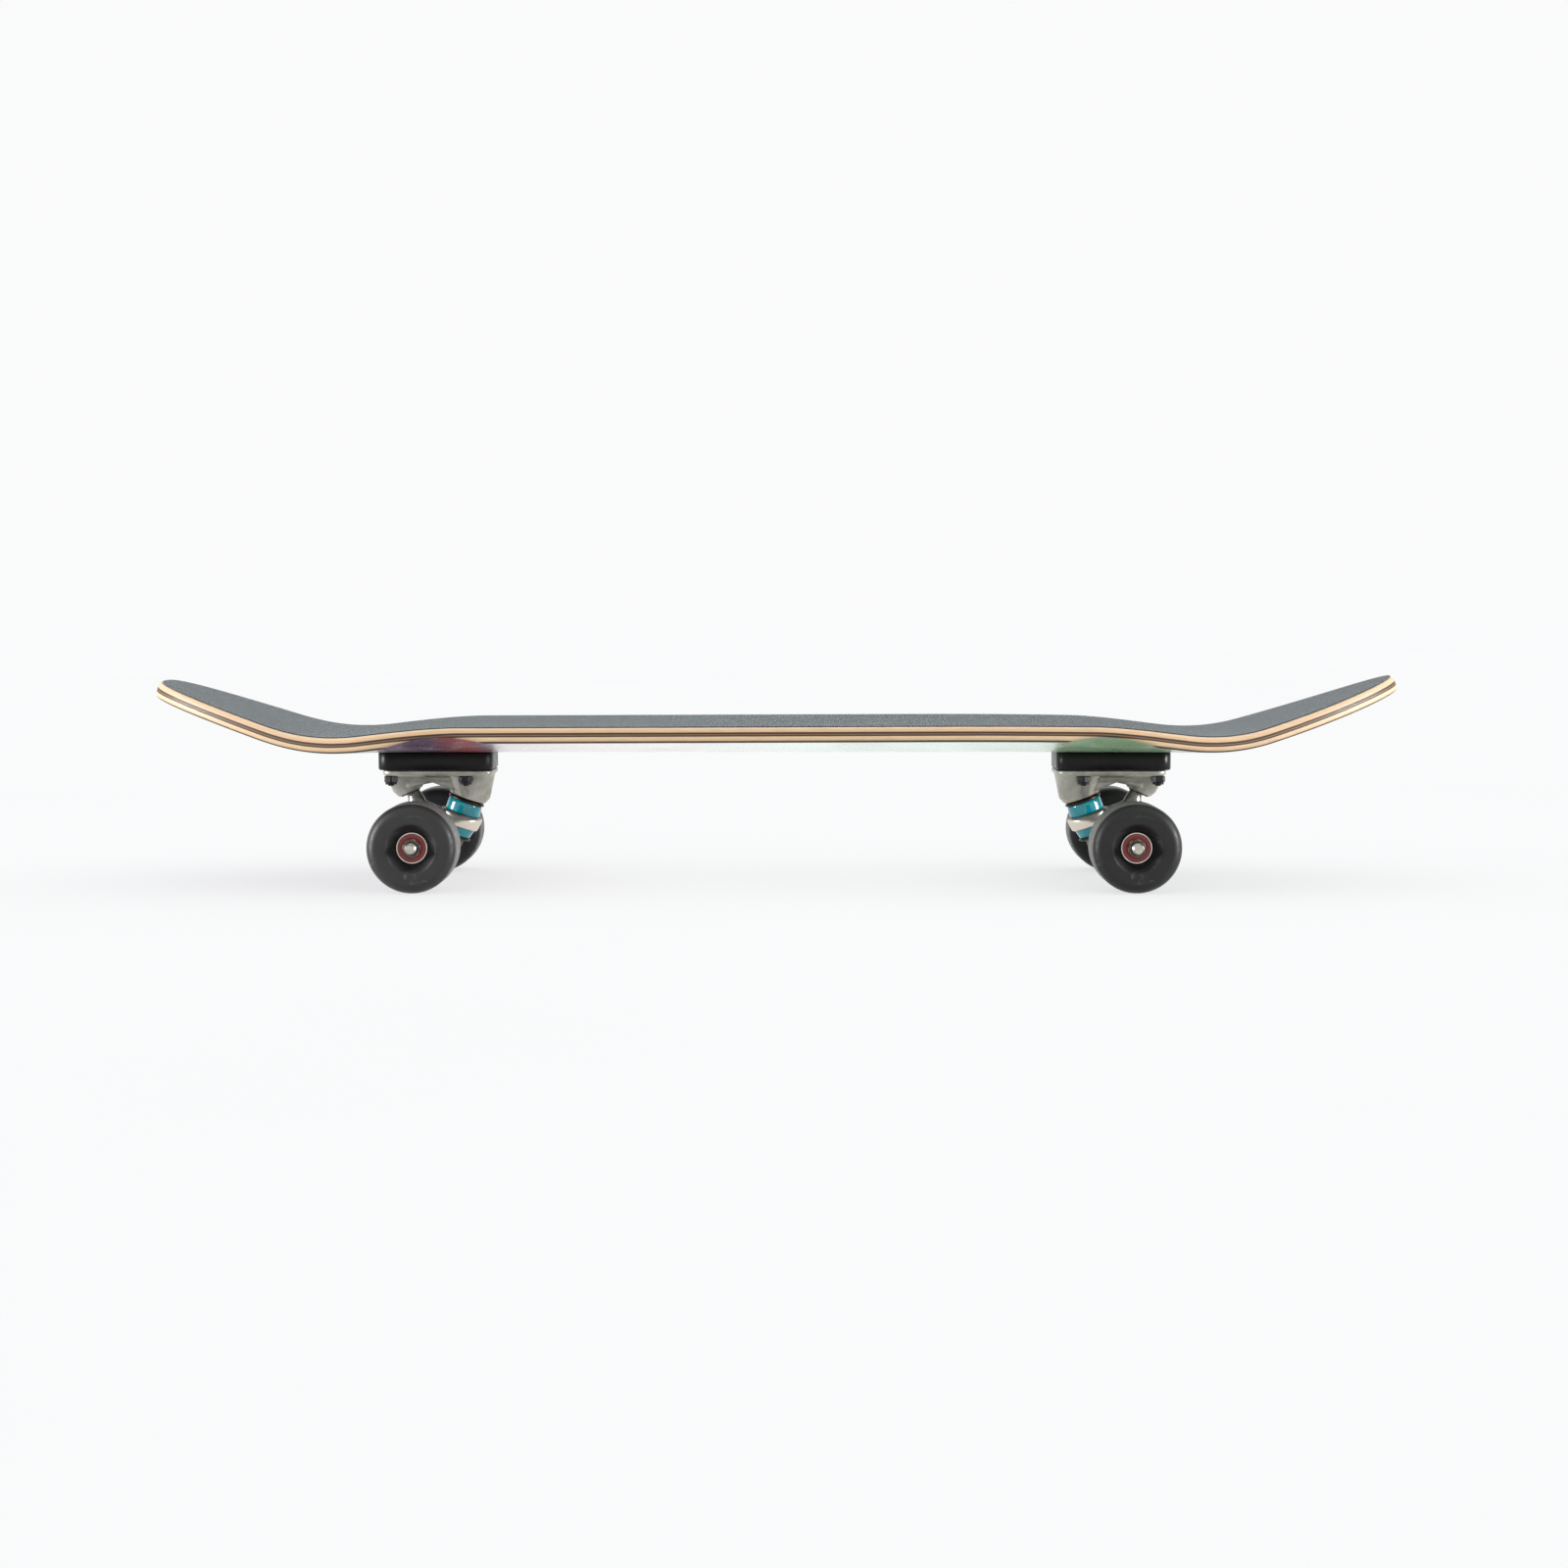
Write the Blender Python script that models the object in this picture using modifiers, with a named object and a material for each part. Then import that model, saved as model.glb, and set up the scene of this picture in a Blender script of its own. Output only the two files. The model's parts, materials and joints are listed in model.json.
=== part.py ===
"""Street skateboard: a seven-ply double-kick deck on two kingpin trucks with four wheels.

Metres, +Z up. +X points to the nose and +Y to the rider's left. The origin lies on the floor,
below the middle of the board. A truck is built in its own frame: x runs from the centre of its
bolt pattern towards the middle of the board, and z is the height above the floor.
"""
import math

import bmesh
import bpy
from mathutils import Vector

# ---------------------------------------------------------------- driving dimensions
GAP = 0.0003                    # clearance between pieces that touch

TOP_LENGTH = 0.8947             # the underside reaches further: 902 mm long and 229 mm wide
TOP_WIDTH = 0.2246
DECK_THICKNESS = 0.0109
GRIP_THICKNESS = 0.0007
KEEL_TOP = 0.1061               # top of the wood on the centreline, between the kicks
FLAT_HALF_WIDTH = 0.030         # flat strip along the centreline
CONCAVE_RISE = 0.0107           # how far the rails stand above the keel at mid-length
CONCAVE_RISE_PER_METRE = 0.0036  # the concave deepens towards the nose
CONCAVE_POWER = 1.6
CONCAVE_FADE_START = 0.220      # distance from the middle where the concave starts to flatten
CONCAVE_FADE_END = 0.345

# A kick starts at a distance from the middle, bends on one radius and runs out on another.
TAIL_KICK = {"start": 0.295, "radius": 0.220, "angle": math.radians(18.5), "run_out": 9.5}
NOSE_KICK = {"start": 0.291, "radius": 0.200, "angle": math.radians(16.75), "run_out": 1.2}

# An end's outline is a superellipse quadrant from its shoulder to the tip.
TAIL_OUTLINE = {"shoulder": 0.283, "along": 1.2, "across": 2.92, "rows": 12}
NOSE_OUTLINE = {"shoulder": 0.080, "along": 2.68, "across": 1.89, "rows": 16}
LAST_ROW_ANGLE = math.radians(88)
MIDDLE_ROWS = 11
DECK_COLUMNS = 8

WELL_LENGTH = 0.059             # sanded wheel wells in the underside
WELL_DEPTH = 0.0035
WELL_TILT = math.radians(16)
WELL_INBOARD = 0.0135           # well centre, inboard of the axle

REAR_TRUCK_X = -0.2519
FRONT_TRUCK_X = 0.2483
BOLT_HALF_SPACING_X = 0.02699
BOLT_HALF_SPACING_Y = 0.02065
BOLT_RADIUS = 0.0024
BOLT_HEAD_RADIUS = 0.0045
BOLT_HEAD_HEIGHT = 0.0026
BOLT_END_Z = 0.0695
BOLT_HOLE_RADIUS = BOLT_RADIUS + GAP
MOUNT_NUT_ACROSS_FLATS = 0.0095
MOUNT_NUT_HEIGHT = 0.006

RISER_BOTTOM_Z = 0.0817
RISER_LENGTH = 0.0828
RISER_WIDTH = 0.0575
RISER_CENTRE_X = 0.0054
FLANGE_TOP_Z = RISER_BOTTOM_Z - GAP
FLANGE_THICKNESS = 0.0039
FLANGE_LENGTH = 0.080
FLANGE_WIDTH = 0.0565
FLANGE_CENTRE_X = 0.0075
CORNER_RADIUS = 0.006
BOSS_HALF_WIDTH = 0.0145

# Kingpin: its frame's origin is the top of the board-side bushing, and local +Z runs up the pin.
KINGPIN_TILT = math.radians(20)
KINGPIN_ORIGIN = Vector((0.0252, 0.0, 0.0579))
KINGPIN_RADIUS = 0.00475
KINGPIN_HEAD_RADIUS = 0.008
KINGPIN_HEAD_TOP = 0.0214
KINGPIN_HEAD_BOTTOM = 0.0169
KINGPIN_END = -0.037
KINGPIN_HOLE_RADIUS = KINGPIN_RADIUS + GAP
KINGPIN_NUT_ACROSS_FLATS = 0.0143
KINGPIN_NUT_TOP = -0.0277
KINGPIN_NUT_BOTTOM = -0.0352
BUSHING_BORE = 0.0053
BOARD_WASHER_RADIUS = 0.0135
BOARD_WASHER_TOP = 0.0023
BOARD_WASHER_BOTTOM = 0.00015
BOARD_BUSHING_RADIUS = 0.0127
BOARD_BUSHING_TOP = -0.00015
BOARD_BUSHING_BOTTOM = -0.00886
RING_TOP = -0.00916
RING_BOTTOM = -0.01856
RING_RADIUS = 0.0158
RING_HOLE_RADIUS = 0.008
ROAD_BUSHING_TOP = -0.01886
ROAD_BUSHING_BOTTOM = -0.0253
ROAD_BUSHING_RADIUS = 0.012
ROAD_WASHER_TOP = -0.0256
ROAD_WASHER_BOTTOM = -0.0274
ROAD_WASHER_RADIUS = 0.0125
RECESS_TOP = -0.0183            # the hanger is hollowed below its ring, round the bushing and nut
RECESS_BOTTOM = -0.042
RECESS_RADIUS_X = 0.0134
RECESS_RADIUS_Y = 0.0178

# Pivot: a ball on the hanger's stem turns in a cup in the baseplate.
PIVOT = Vector((-0.0165, 0.0, 0.0675))
PIVOT_CUP_TILT = math.radians(-24)
PIVOT_STEM_TILT = math.radians(-35)
BALL_RADIUS = 0.0056
STEM_RADIUS = 0.0049
CUP_OUTER_RADIUS = 0.0082
CUP_INNER_RADIUS = 0.0060
CUP_MOUTH_RADIUS = 0.0067
CUP_TOP = 0.0080
CUP_MOUTH = -0.0030

AXLE_X = -0.0029
AXLE_Z = 0.0315                 # the wheel's radius
AXLE_RADIUS = 0.004
AXLE_HALF_LENGTH = 0.116
HANGER_HALF_WIDTH = 0.0775
ARM_ROOT_RADIUS = 0.0118
ARM_END_RADIUS = 0.0085
WEB_HALF_WIDTH = 0.0105

WHEEL_RADIUS = 0.0315
WHEEL_CENTRE_Y = 0.09075
BEARING_RADIUS = 0.011
BEARING_WIDTH = 0.007
BEARING_FACE_Y = 0.012          # outer face of a bearing, from the wheel's middle plane
INNER_RACE_RADIUS = 0.006
SPACER_HALF_LENGTH = BEARING_FACE_Y
AXLE_NUT_ACROSS_FLATS = 0.0127
AXLE_NUT_START_Y = 0.10405
AXLE_NUT_END_Y = 0.110

# ---------------------------------------------------------------- colours (sRGB, roughness, metallic)
FINISHES = {
    "maple": ((0.84, 0.73, 0.58), 0.55, 0.0),
    "grip": ((0.07, 0.07, 0.075), 0.95, 0.0),
    "black_rubber": ((0.09, 0.09, 0.09), 0.7, 0.0),
    "cast_alloy": ((0.55, 0.54, 0.51), 0.5, 0.9),
    "teal_urethane": ((0.0, 0.50, 0.55), 0.35, 0.0),
    "bronze_steel": ((0.30, 0.25, 0.20), 0.4, 0.9),
    "black_oxide": ((0.10, 0.10, 0.10), 0.45, 0.6),
    "bright_steel": ((0.68, 0.66, 0.63), 0.3, 1.0),
    "grey_urethane": ((0.21, 0.21, 0.21), 0.5, 0.0),
    "red_shield": ((0.52, 0.22, 0.20), 0.5, 0.0),
    "black_nylon": ((0.06, 0.06, 0.06), 0.5, 0.0),
}


def linear(channel):
    """An sRGB channel as the linear value that a shader takes."""
    if channel <= 0.04045:
        return channel / 12.92
    return ((channel + 0.055) / 1.055) ** 2.4


def finish(obj, finish_name):
    """Gives an object its own Principled material."""
    colour, roughness, metallic = FINISHES[finish_name]
    material = bpy.data.materials.new(obj.name + "_" + finish_name)
    material.use_nodes = True
    shader = material.node_tree.nodes["Principled BSDF"]
    shader.inputs["Base Color"].default_value = [linear(channel) for channel in colour] + [1.0]
    shader.inputs["Roughness"].default_value = roughness
    shader.inputs["Metallic"].default_value = metallic
    obj.data.materials.append(material)


# ---------------------------------------------------------------- scene and placing helpers
def clear_scene():
    """Removes every object that the file opened with."""
    for obj in list(bpy.data.objects):
        bpy.data.objects.remove(obj, do_unlink=True)


def new_collection(name):
    """A collection linked to the scene."""
    collection = bpy.data.collections.new(name)
    bpy.context.scene.collection.children.link(collection)
    return collection


def add_empty(name, parent=None, location=(0, 0, 0), rotation=(0, 0, 0)):
    """An empty that carries the pieces of one truck, pin or pivot."""
    empty = bpy.data.objects.new(name, None)
    empty.empty_display_size = 0.01
    parts.objects.link(empty)
    empty.parent = parent
    empty.location = location
    empty.rotation_euler = rotation
    return empty


def place(obj, parent, location=(0, 0, 0), rotation=(0, 0, 0)):
    """Stands an object at a place in its parent's frame."""
    obj.parent = parent
    obj.location = location
    obj.rotation_euler = rotation
    return obj


def as_part(obj, finish_name):
    """Lists an object among the parts and gives it its finish."""
    parts.objects.link(obj)
    finish(obj, finish_name)
    return obj


def as_cutter(obj, collection=None):
    """Lists an object among the cutters, hidden from the render."""
    (collection or cutters).objects.link(obj)
    obj.hide_render = True
    obj.display_type = "WIRE"
    return obj


def add_boolean(obj, tool, operation):
    """Joins or cuts an object with one other object."""
    modifier = obj.modifiers.new(operation.title(), "BOOLEAN")
    modifier.operation = operation
    modifier.solver = "EXACT"
    modifier.object = tool


# ---------------------------------------------------------------- shapes
def turned(name, profile, steps, closed=False):
    """A solid turned about local Z; its (radius, height) profile runs down the outer side."""
    mesh = bpy.data.meshes.new(name)
    points = [(radius, 0.0, height) for radius, height in profile]
    edges = [(index, index + 1) for index in range(len(points) - 1)]
    if closed:
        edges.append((len(points) - 1, 0))
    mesh.from_pydata(points, edges, [])
    obj = bpy.data.objects.new(name, mesh)
    screw = obj.modifiers.new("Turn", "SCREW")
    screw.axis = "Z"
    screw.angle = 2 * math.pi
    screw.steps = steps
    screw.render_steps = steps
    screw.use_smooth_shade = True
    screw.use_merge_vertices = True
    screw.merge_threshold = 0.00001
    return obj


def ring_profile(outer, inner, top, bottom):
    """The profile of a plain ring."""
    return [(outer, top), (outer, bottom), (inner, bottom), (inner, top)]


def rod_profile(radius, top, bottom):
    """The profile of a plain rod."""
    return [(0.0, top), (radius, top), (radius, bottom), (0.0, bottom)]


def plate(name, outline, thickness):
    """A flat outline in XY, extruded by half its thickness up and down local Z."""
    curve = bpy.data.curves.new(name, "CURVE")
    curve.dimensions = "2D"
    curve.fill_mode = "BOTH"
    curve.extrude = thickness / 2
    spline = curve.splines.new("POLY")
    spline.points.add(len(outline) - 1)
    for point, (across, up) in zip(spline.points, outline):
        point.co = (across, up, 0.0, 1.0)
    spline.use_cyclic_u = True
    drawn = bpy.data.objects.new(name + "_outline", curve)
    parts.objects.link(drawn)
    depsgraph = bpy.context.evaluated_depsgraph_get()
    mesh = bpy.data.meshes.new_from_object(drawn.evaluated_get(depsgraph))
    bpy.data.objects.remove(drawn)
    bpy.data.curves.remove(curve)
    welded = bmesh.new()
    welded.from_mesh(mesh)
    bmesh.ops.remove_doubles(welded, verts=welded.verts, dist=0.00001)
    bmesh.ops.recalc_face_normals(welded, faces=welded.faces)
    welded.to_mesh(mesh)
    welded.free()
    return bpy.data.objects.new(name, mesh)


def rounded_rectangle(length, width, radius, centre_x=0.0):
    """The outline of a rectangle with round corners."""
    outline = []
    for corner in range(4):
        sign_x = 1 if corner in (0, 3) else -1
        sign_y = 1 if corner in (0, 1) else -1
        for step in range(4):
            angle = math.radians(90 * corner + 30 * step)
            x = centre_x + sign_x * (length / 2 - radius) + radius * math.cos(angle)
            y = sign_y * (width / 2 - radius) + radius * math.sin(angle)
            outline.append((x, y))
    return outline


def hexagon(across_flats):
    """The outline of a nut."""
    radius = across_flats / math.sqrt(3)
    return [(radius * math.cos(math.radians(60 * side)), radius * math.sin(math.radians(60 * side)))
            for side in range(6)]


def nut(name, across_flats, height, hole_radius):
    """A hexagon with a through hole; the nut is centred on its origin."""
    obj = as_part(plate(name, hexagon(across_flats), height), "black_oxide")
    hole = as_cutter(turned(name + "_hole", rod_profile(hole_radius, height, -height), 12))
    hole.parent = obj
    add_boolean(obj, hole, "DIFFERENCE")
    return obj


# ---------------------------------------------------------------- deck
def smooth_step(value):
    """Rises from 0 to 1 with level ends."""
    value = min(max(value, 0.0), 1.0)
    return value * value * (3 - 2 * value)


def kick_rise(distance, kick):
    """Height above the flat at a distance past the start of a kick."""
    if distance <= 0:
        return 0.0
    radius = kick["radius"]
    bend_run = radius * math.sin(kick["angle"])
    if distance < bend_run:
        return radius - math.sqrt(radius ** 2 - distance ** 2)
    bend_rise = radius * (1 - math.cos(kick["angle"]))
    run_out = kick["run_out"]
    start = run_out * math.sin(kick["angle"])
    level = run_out * math.cos(kick["angle"])
    beyond = distance - bend_run
    return bend_rise + level - math.sqrt(run_out ** 2 - (start + beyond) ** 2)


def deck_height(x, y):
    """Top of the wood above the floor."""
    kick = NOSE_KICK if x > 0 else TAIL_KICK
    rise = kick_rise(abs(x) - kick["start"], kick)
    fade_length = CONCAVE_FADE_END - CONCAVE_FADE_START
    fade = 1 - smooth_step((abs(x) - CONCAVE_FADE_START) / fade_length)
    side = max(abs(y) - FLAT_HALF_WIDTH, 0.0) / (TOP_WIDTH / 2 - FLAT_HALF_WIDTH)
    depth = CONCAVE_RISE + CONCAVE_RISE_PER_METRE * x
    return KEEL_TOP + rise + depth * fade * side ** CONCAVE_POWER


def outline_row(outline, angle):
    """Distance from the middle and half width of the deck at an angle round an end's quadrant."""
    reach = TOP_LENGTH / 2 - outline["shoulder"]
    distance = outline["shoulder"] + reach * math.sin(angle) ** (2 / outline["along"])
    half_width = TOP_WIDTH / 2 * math.cos(angle) ** (2 / outline["across"])
    return distance, half_width


def deck_rows():
    """Place along X and half width of every row of the deck, from tail to nose."""
    rows = []
    for step in range(TAIL_OUTLINE["rows"], 0, -1):
        distance, half_width = outline_row(TAIL_OUTLINE, LAST_ROW_ANGLE * step / TAIL_OUTLINE["rows"])
        rows.append((-distance, half_width))
    middle_length = TAIL_OUTLINE["shoulder"] + NOSE_OUTLINE["shoulder"]
    for step in range(MIDDLE_ROWS):
        rows.append((middle_length * step / MIDDLE_ROWS - TAIL_OUTLINE["shoulder"], TOP_WIDTH / 2))
    for step in range(NOSE_OUTLINE["rows"] + 1):
        rows.append(outline_row(NOSE_OUTLINE, LAST_ROW_ANGLE * step / NOSE_OUTLINE["rows"]))
    return rows


def deck_sheet(name, lift, thickness, offset):
    """A sheet that follows the deck's top, thickened up (offset 1) or down (offset -1)."""
    rows = deck_rows()
    segments = len(rows) - 1
    sheet = bmesh.new()
    bmesh.ops.create_grid(sheet, x_segments=segments, y_segments=DECK_COLUMNS, size=0.5)
    for vertex in sheet.verts:
        row_x, half_width = rows[round((vertex.co.x + 0.5) * segments)]
        y = 2 * vertex.co.y * half_width
        vertex.co = (row_x, y, deck_height(row_x, y) + lift)
    mesh = bpy.data.meshes.new(name)
    sheet.to_mesh(mesh)
    sheet.free()
    obj = bpy.data.objects.new(name, mesh)
    solidify = obj.modifiers.new("Thickness", "SOLIDIFY")
    solidify.thickness = thickness
    solidify.offset = offset
    return obj


def bolt_places(truck_x):
    """The four bolt centres of one truck, as world X and Y."""
    return [(truck_x + side_x * BOLT_HALF_SPACING_X, side_y * BOLT_HALF_SPACING_Y)
            for side_x in (-1, 1) for side_y in (-1, 1)]


def bolt_profile(clearance):
    """A countersunk bolt, or with a clearance the hole that it drops into."""
    head = BOLT_HEAD_RADIUS + clearance
    shank = BOLT_RADIUS + clearance
    top = KEEL_TOP + GAP + GRIP_THICKNESS
    if clearance:
        return [(0.0, top + clearance), (head, top + clearance), (head, top - clearance),
                (shank, top - BOLT_HEAD_HEIGHT - clearance), (shank, BOLT_END_Z), (0.0, BOLT_END_Z)]
    return [(0.0, top), (head, top), (shank, top - BOLT_HEAD_HEIGHT), (shank, BOLT_END_Z),
            (0.0, BOLT_END_Z)]


def build_deck():
    """The wood and the grip tape, with the bolt holes and wheel wells."""
    wood = as_part(deck_sheet("deck", 0.0, DECK_THICKNESS, -1), "maple")
    tape = as_part(deck_sheet("grip_tape", GAP, GRIP_THICKNESS, 1), "grip")
    holes = bpy.data.collections.new("bolt_holes")
    cutters.children.link(holes)
    for truck_x in (REAR_TRUCK_X, FRONT_TRUCK_X):
        for x, y in bolt_places(truck_x):
            cutter = as_cutter(turned("bolt_hole", bolt_profile(GAP), 12), holes)
            cutter.location = (x, y, 0.0)
    for obj in (wood, tape):
        modifier = obj.modifiers.new("Bolt holes", "BOOLEAN")
        modifier.operation = "DIFFERENCE"
        modifier.solver = "EXACT"
        modifier.operand_type = "COLLECTION"
        modifier.collection = holes
    well_radius = (WELL_LENGTH ** 2 / 4 + WELL_DEPTH ** 2) / (2 * WELL_DEPTH)
    for truck_x, inboard in ((REAR_TRUCK_X, 1), (FRONT_TRUCK_X, -1)):
        for side in (-1, 1):
            x = truck_x + inboard * (AXLE_X + WELL_INBOARD)
            rail_bottom = deck_height(x, TOP_WIDTH / 2) - DECK_THICKNESS
            profile = rod_profile(well_radius, 0.05, -0.05)
            well = as_cutter(turned("wheel_well", profile, 96))
            well.rotation_euler = (-side * (math.pi / 2 - WELL_TILT), 0.0, 0.0)
            drop = well_radius / math.cos(WELL_TILT)
            well.location = (x, side * TOP_WIDTH / 2, rail_bottom + WELL_DEPTH - drop)
            add_boolean(wood, well, "DIFFERENCE")


# ---------------------------------------------------------------- truck
def kingpin_plane_point(along, up):
    """A point in the truck's (x, z) plane, from its place in the kingpin's frame."""
    x = KINGPIN_ORIGIN.x + along * math.cos(KINGPIN_TILT) + up * math.sin(KINGPIN_TILT)
    z = KINGPIN_ORIGIN.z - along * math.sin(KINGPIN_TILT) + up * math.cos(KINGPIN_TILT)
    return x, z


def side_plate(name, outline, half_width, parent):
    """An outline in the truck's (x, z) plane, extruded to both sides of the centreline."""
    obj = plate(name, outline, 2 * half_width)
    return place(obj, parent, (0, 0, 0), (math.pi / 2, 0, 0))


def build_riser(prefix, truck):
    """The riser pad under the deck."""
    top = KEEL_TOP - DECK_THICKNESS - GAP
    outline = rounded_rectangle(RISER_LENGTH, RISER_WIDTH, CORNER_RADIUS, RISER_CENTRE_X)
    riser = as_part(plate(prefix + "_riser_pad", outline, top - RISER_BOTTOM_Z), "black_rubber")
    place(riser, truck, (0, 0, (top + RISER_BOTTOM_Z) / 2))
    cut_bolt_holes(riser, truck)


def cut_bolt_holes(obj, truck):
    """Cuts the truck's four straight bolt holes through a plate."""
    holes = bpy.data.collections.new(obj.name + "_bolt_holes")
    cutters.children.link(holes)
    for side_x in (-1, 1):
        for side_y in (-1, 1):
            profile = rod_profile(BOLT_HOLE_RADIUS, KEEL_TOP, BOLT_END_Z)
            hole = as_cutter(turned(obj.name + "_hole", profile, 12), holes)
            place(hole, truck, (side_x * BOLT_HALF_SPACING_X, side_y * BOLT_HALF_SPACING_Y, 0))
    modifier = obj.modifiers.new("Bolt holes", "BOOLEAN")
    modifier.operation = "DIFFERENCE"
    modifier.solver = "EXACT"
    modifier.operand_type = "COLLECTION"
    modifier.collection = holes


def build_baseplate(prefix, truck, pin_frame):
    """The cast baseplate: a flange with a pivot boss and a kingpin boss under it."""
    flange_z = FLANGE_TOP_Z - FLANGE_THICKNESS / 2
    outline = rounded_rectangle(FLANGE_LENGTH, FLANGE_WIDTH, CORNER_RADIUS, FLANGE_CENTRE_X)
    baseplate = as_part(plate(prefix + "_baseplate", outline, FLANGE_THICKNESS), "cast_alloy")
    place(baseplate, truck, (0, 0, flange_z))
    seat = BOARD_WASHER_TOP + GAP
    boss_outline = [
        (-0.0318, flange_z), (-0.0317, 0.0700), (-0.0279, 0.0648), (-0.0215, 0.0619),
        (-0.0087, 0.0676), (-0.0030, 0.0712), (0.0040, 0.0715), (0.0100, 0.0685),
        kingpin_plane_point(-0.0130, seat), kingpin_plane_point(0.0130, seat),
        (0.0411, 0.0616), (0.0437, 0.0680), (0.0450, flange_z),
    ]
    bosses = as_cutter(side_plate(prefix + "_bosses", boss_outline, BOSS_HALF_WIDTH, truck))
    add_boolean(baseplate, bosses, "UNION")
    pin_hole = turned(prefix + "_pin_hole", [
        (0.0, 0.04), (KINGPIN_HEAD_RADIUS + GAP, 0.04),
        (KINGPIN_HEAD_RADIUS + GAP, KINGPIN_HEAD_BOTTOM - GAP),
        (KINGPIN_HOLE_RADIUS, KINGPIN_HEAD_BOTTOM - GAP), (KINGPIN_HOLE_RADIUS, -0.01), (0.0, -0.01),
    ], 20)
    add_boolean(baseplate, place(as_cutter(pin_hole), pin_frame), "DIFFERENCE")
    cup_bore = turned(prefix + "_cup_bore", rod_profile(CUP_OUTER_RADIUS + GAP, CUP_TOP + GAP, -0.02), 20)
    place(as_cutter(cup_bore), truck, PIVOT, (0, PIVOT_CUP_TILT, 0))
    add_boolean(baseplate, cup_bore, "DIFFERENCE")
    cut_bolt_holes(baseplate, truck)


def build_pivot_cup(prefix, truck):
    """The plastic cup that the hanger's ball turns in."""
    cup = turned(prefix + "_pivot_cup", [
        (0.0, CUP_TOP), (CUP_OUTER_RADIUS, CUP_TOP), (CUP_OUTER_RADIUS, CUP_MOUTH),
        (CUP_MOUTH_RADIUS, CUP_MOUTH), (CUP_INNER_RADIUS, 0.0), (CUP_INNER_RADIUS, 0.0030),
        (0.0035, 0.0062), (0.0, 0.0064),
    ], 20)
    place(as_part(cup, "black_nylon"), truck, PIVOT, (0, PIVOT_CUP_TILT, 0))


def build_kingpin_stack(prefix, pin_frame):
    """The kingpin with its washers, bushings and nut, all turned about the pin."""
    pin = turned(prefix + "_kingpin", [
        (0.0, KINGPIN_HEAD_TOP), (KINGPIN_HEAD_RADIUS, KINGPIN_HEAD_TOP),
        (KINGPIN_HEAD_RADIUS, KINGPIN_HEAD_BOTTOM), (KINGPIN_RADIUS, KINGPIN_HEAD_BOTTOM),
        (KINGPIN_RADIUS, KINGPIN_END), (0.0, KINGPIN_END),
    ], 16)
    place(as_part(pin, "bronze_steel"), pin_frame)
    rings = (
        ("_board_washer", "bronze_steel", BOARD_WASHER_RADIUS, BOARD_WASHER_TOP, BOARD_WASHER_BOTTOM),
        ("_board_bushing", "teal_urethane", BOARD_BUSHING_RADIUS, BOARD_BUSHING_TOP,
         BOARD_BUSHING_BOTTOM),
        ("_road_bushing", "teal_urethane", ROAD_BUSHING_RADIUS, ROAD_BUSHING_TOP, ROAD_BUSHING_BOTTOM),
        ("_road_washer", "bronze_steel", ROAD_WASHER_RADIUS, ROAD_WASHER_TOP, ROAD_WASHER_BOTTOM),
    )
    for suffix, finish_name, radius, top, bottom in rings:
        ring = turned(prefix + suffix, ring_profile(radius, BUSHING_BORE, top, bottom), 24, closed=True)
        place(as_part(ring, finish_name), pin_frame)
    height = KINGPIN_NUT_TOP - KINGPIN_NUT_BOTTOM
    pin_nut = nut(prefix + "_kingpin_nut", KINGPIN_NUT_ACROSS_FLATS, height, KINGPIN_HOLE_RADIUS)
    place(pin_nut, pin_frame, (0, 0, (KINGPIN_NUT_TOP + KINGPIN_NUT_BOTTOM) / 2))


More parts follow.
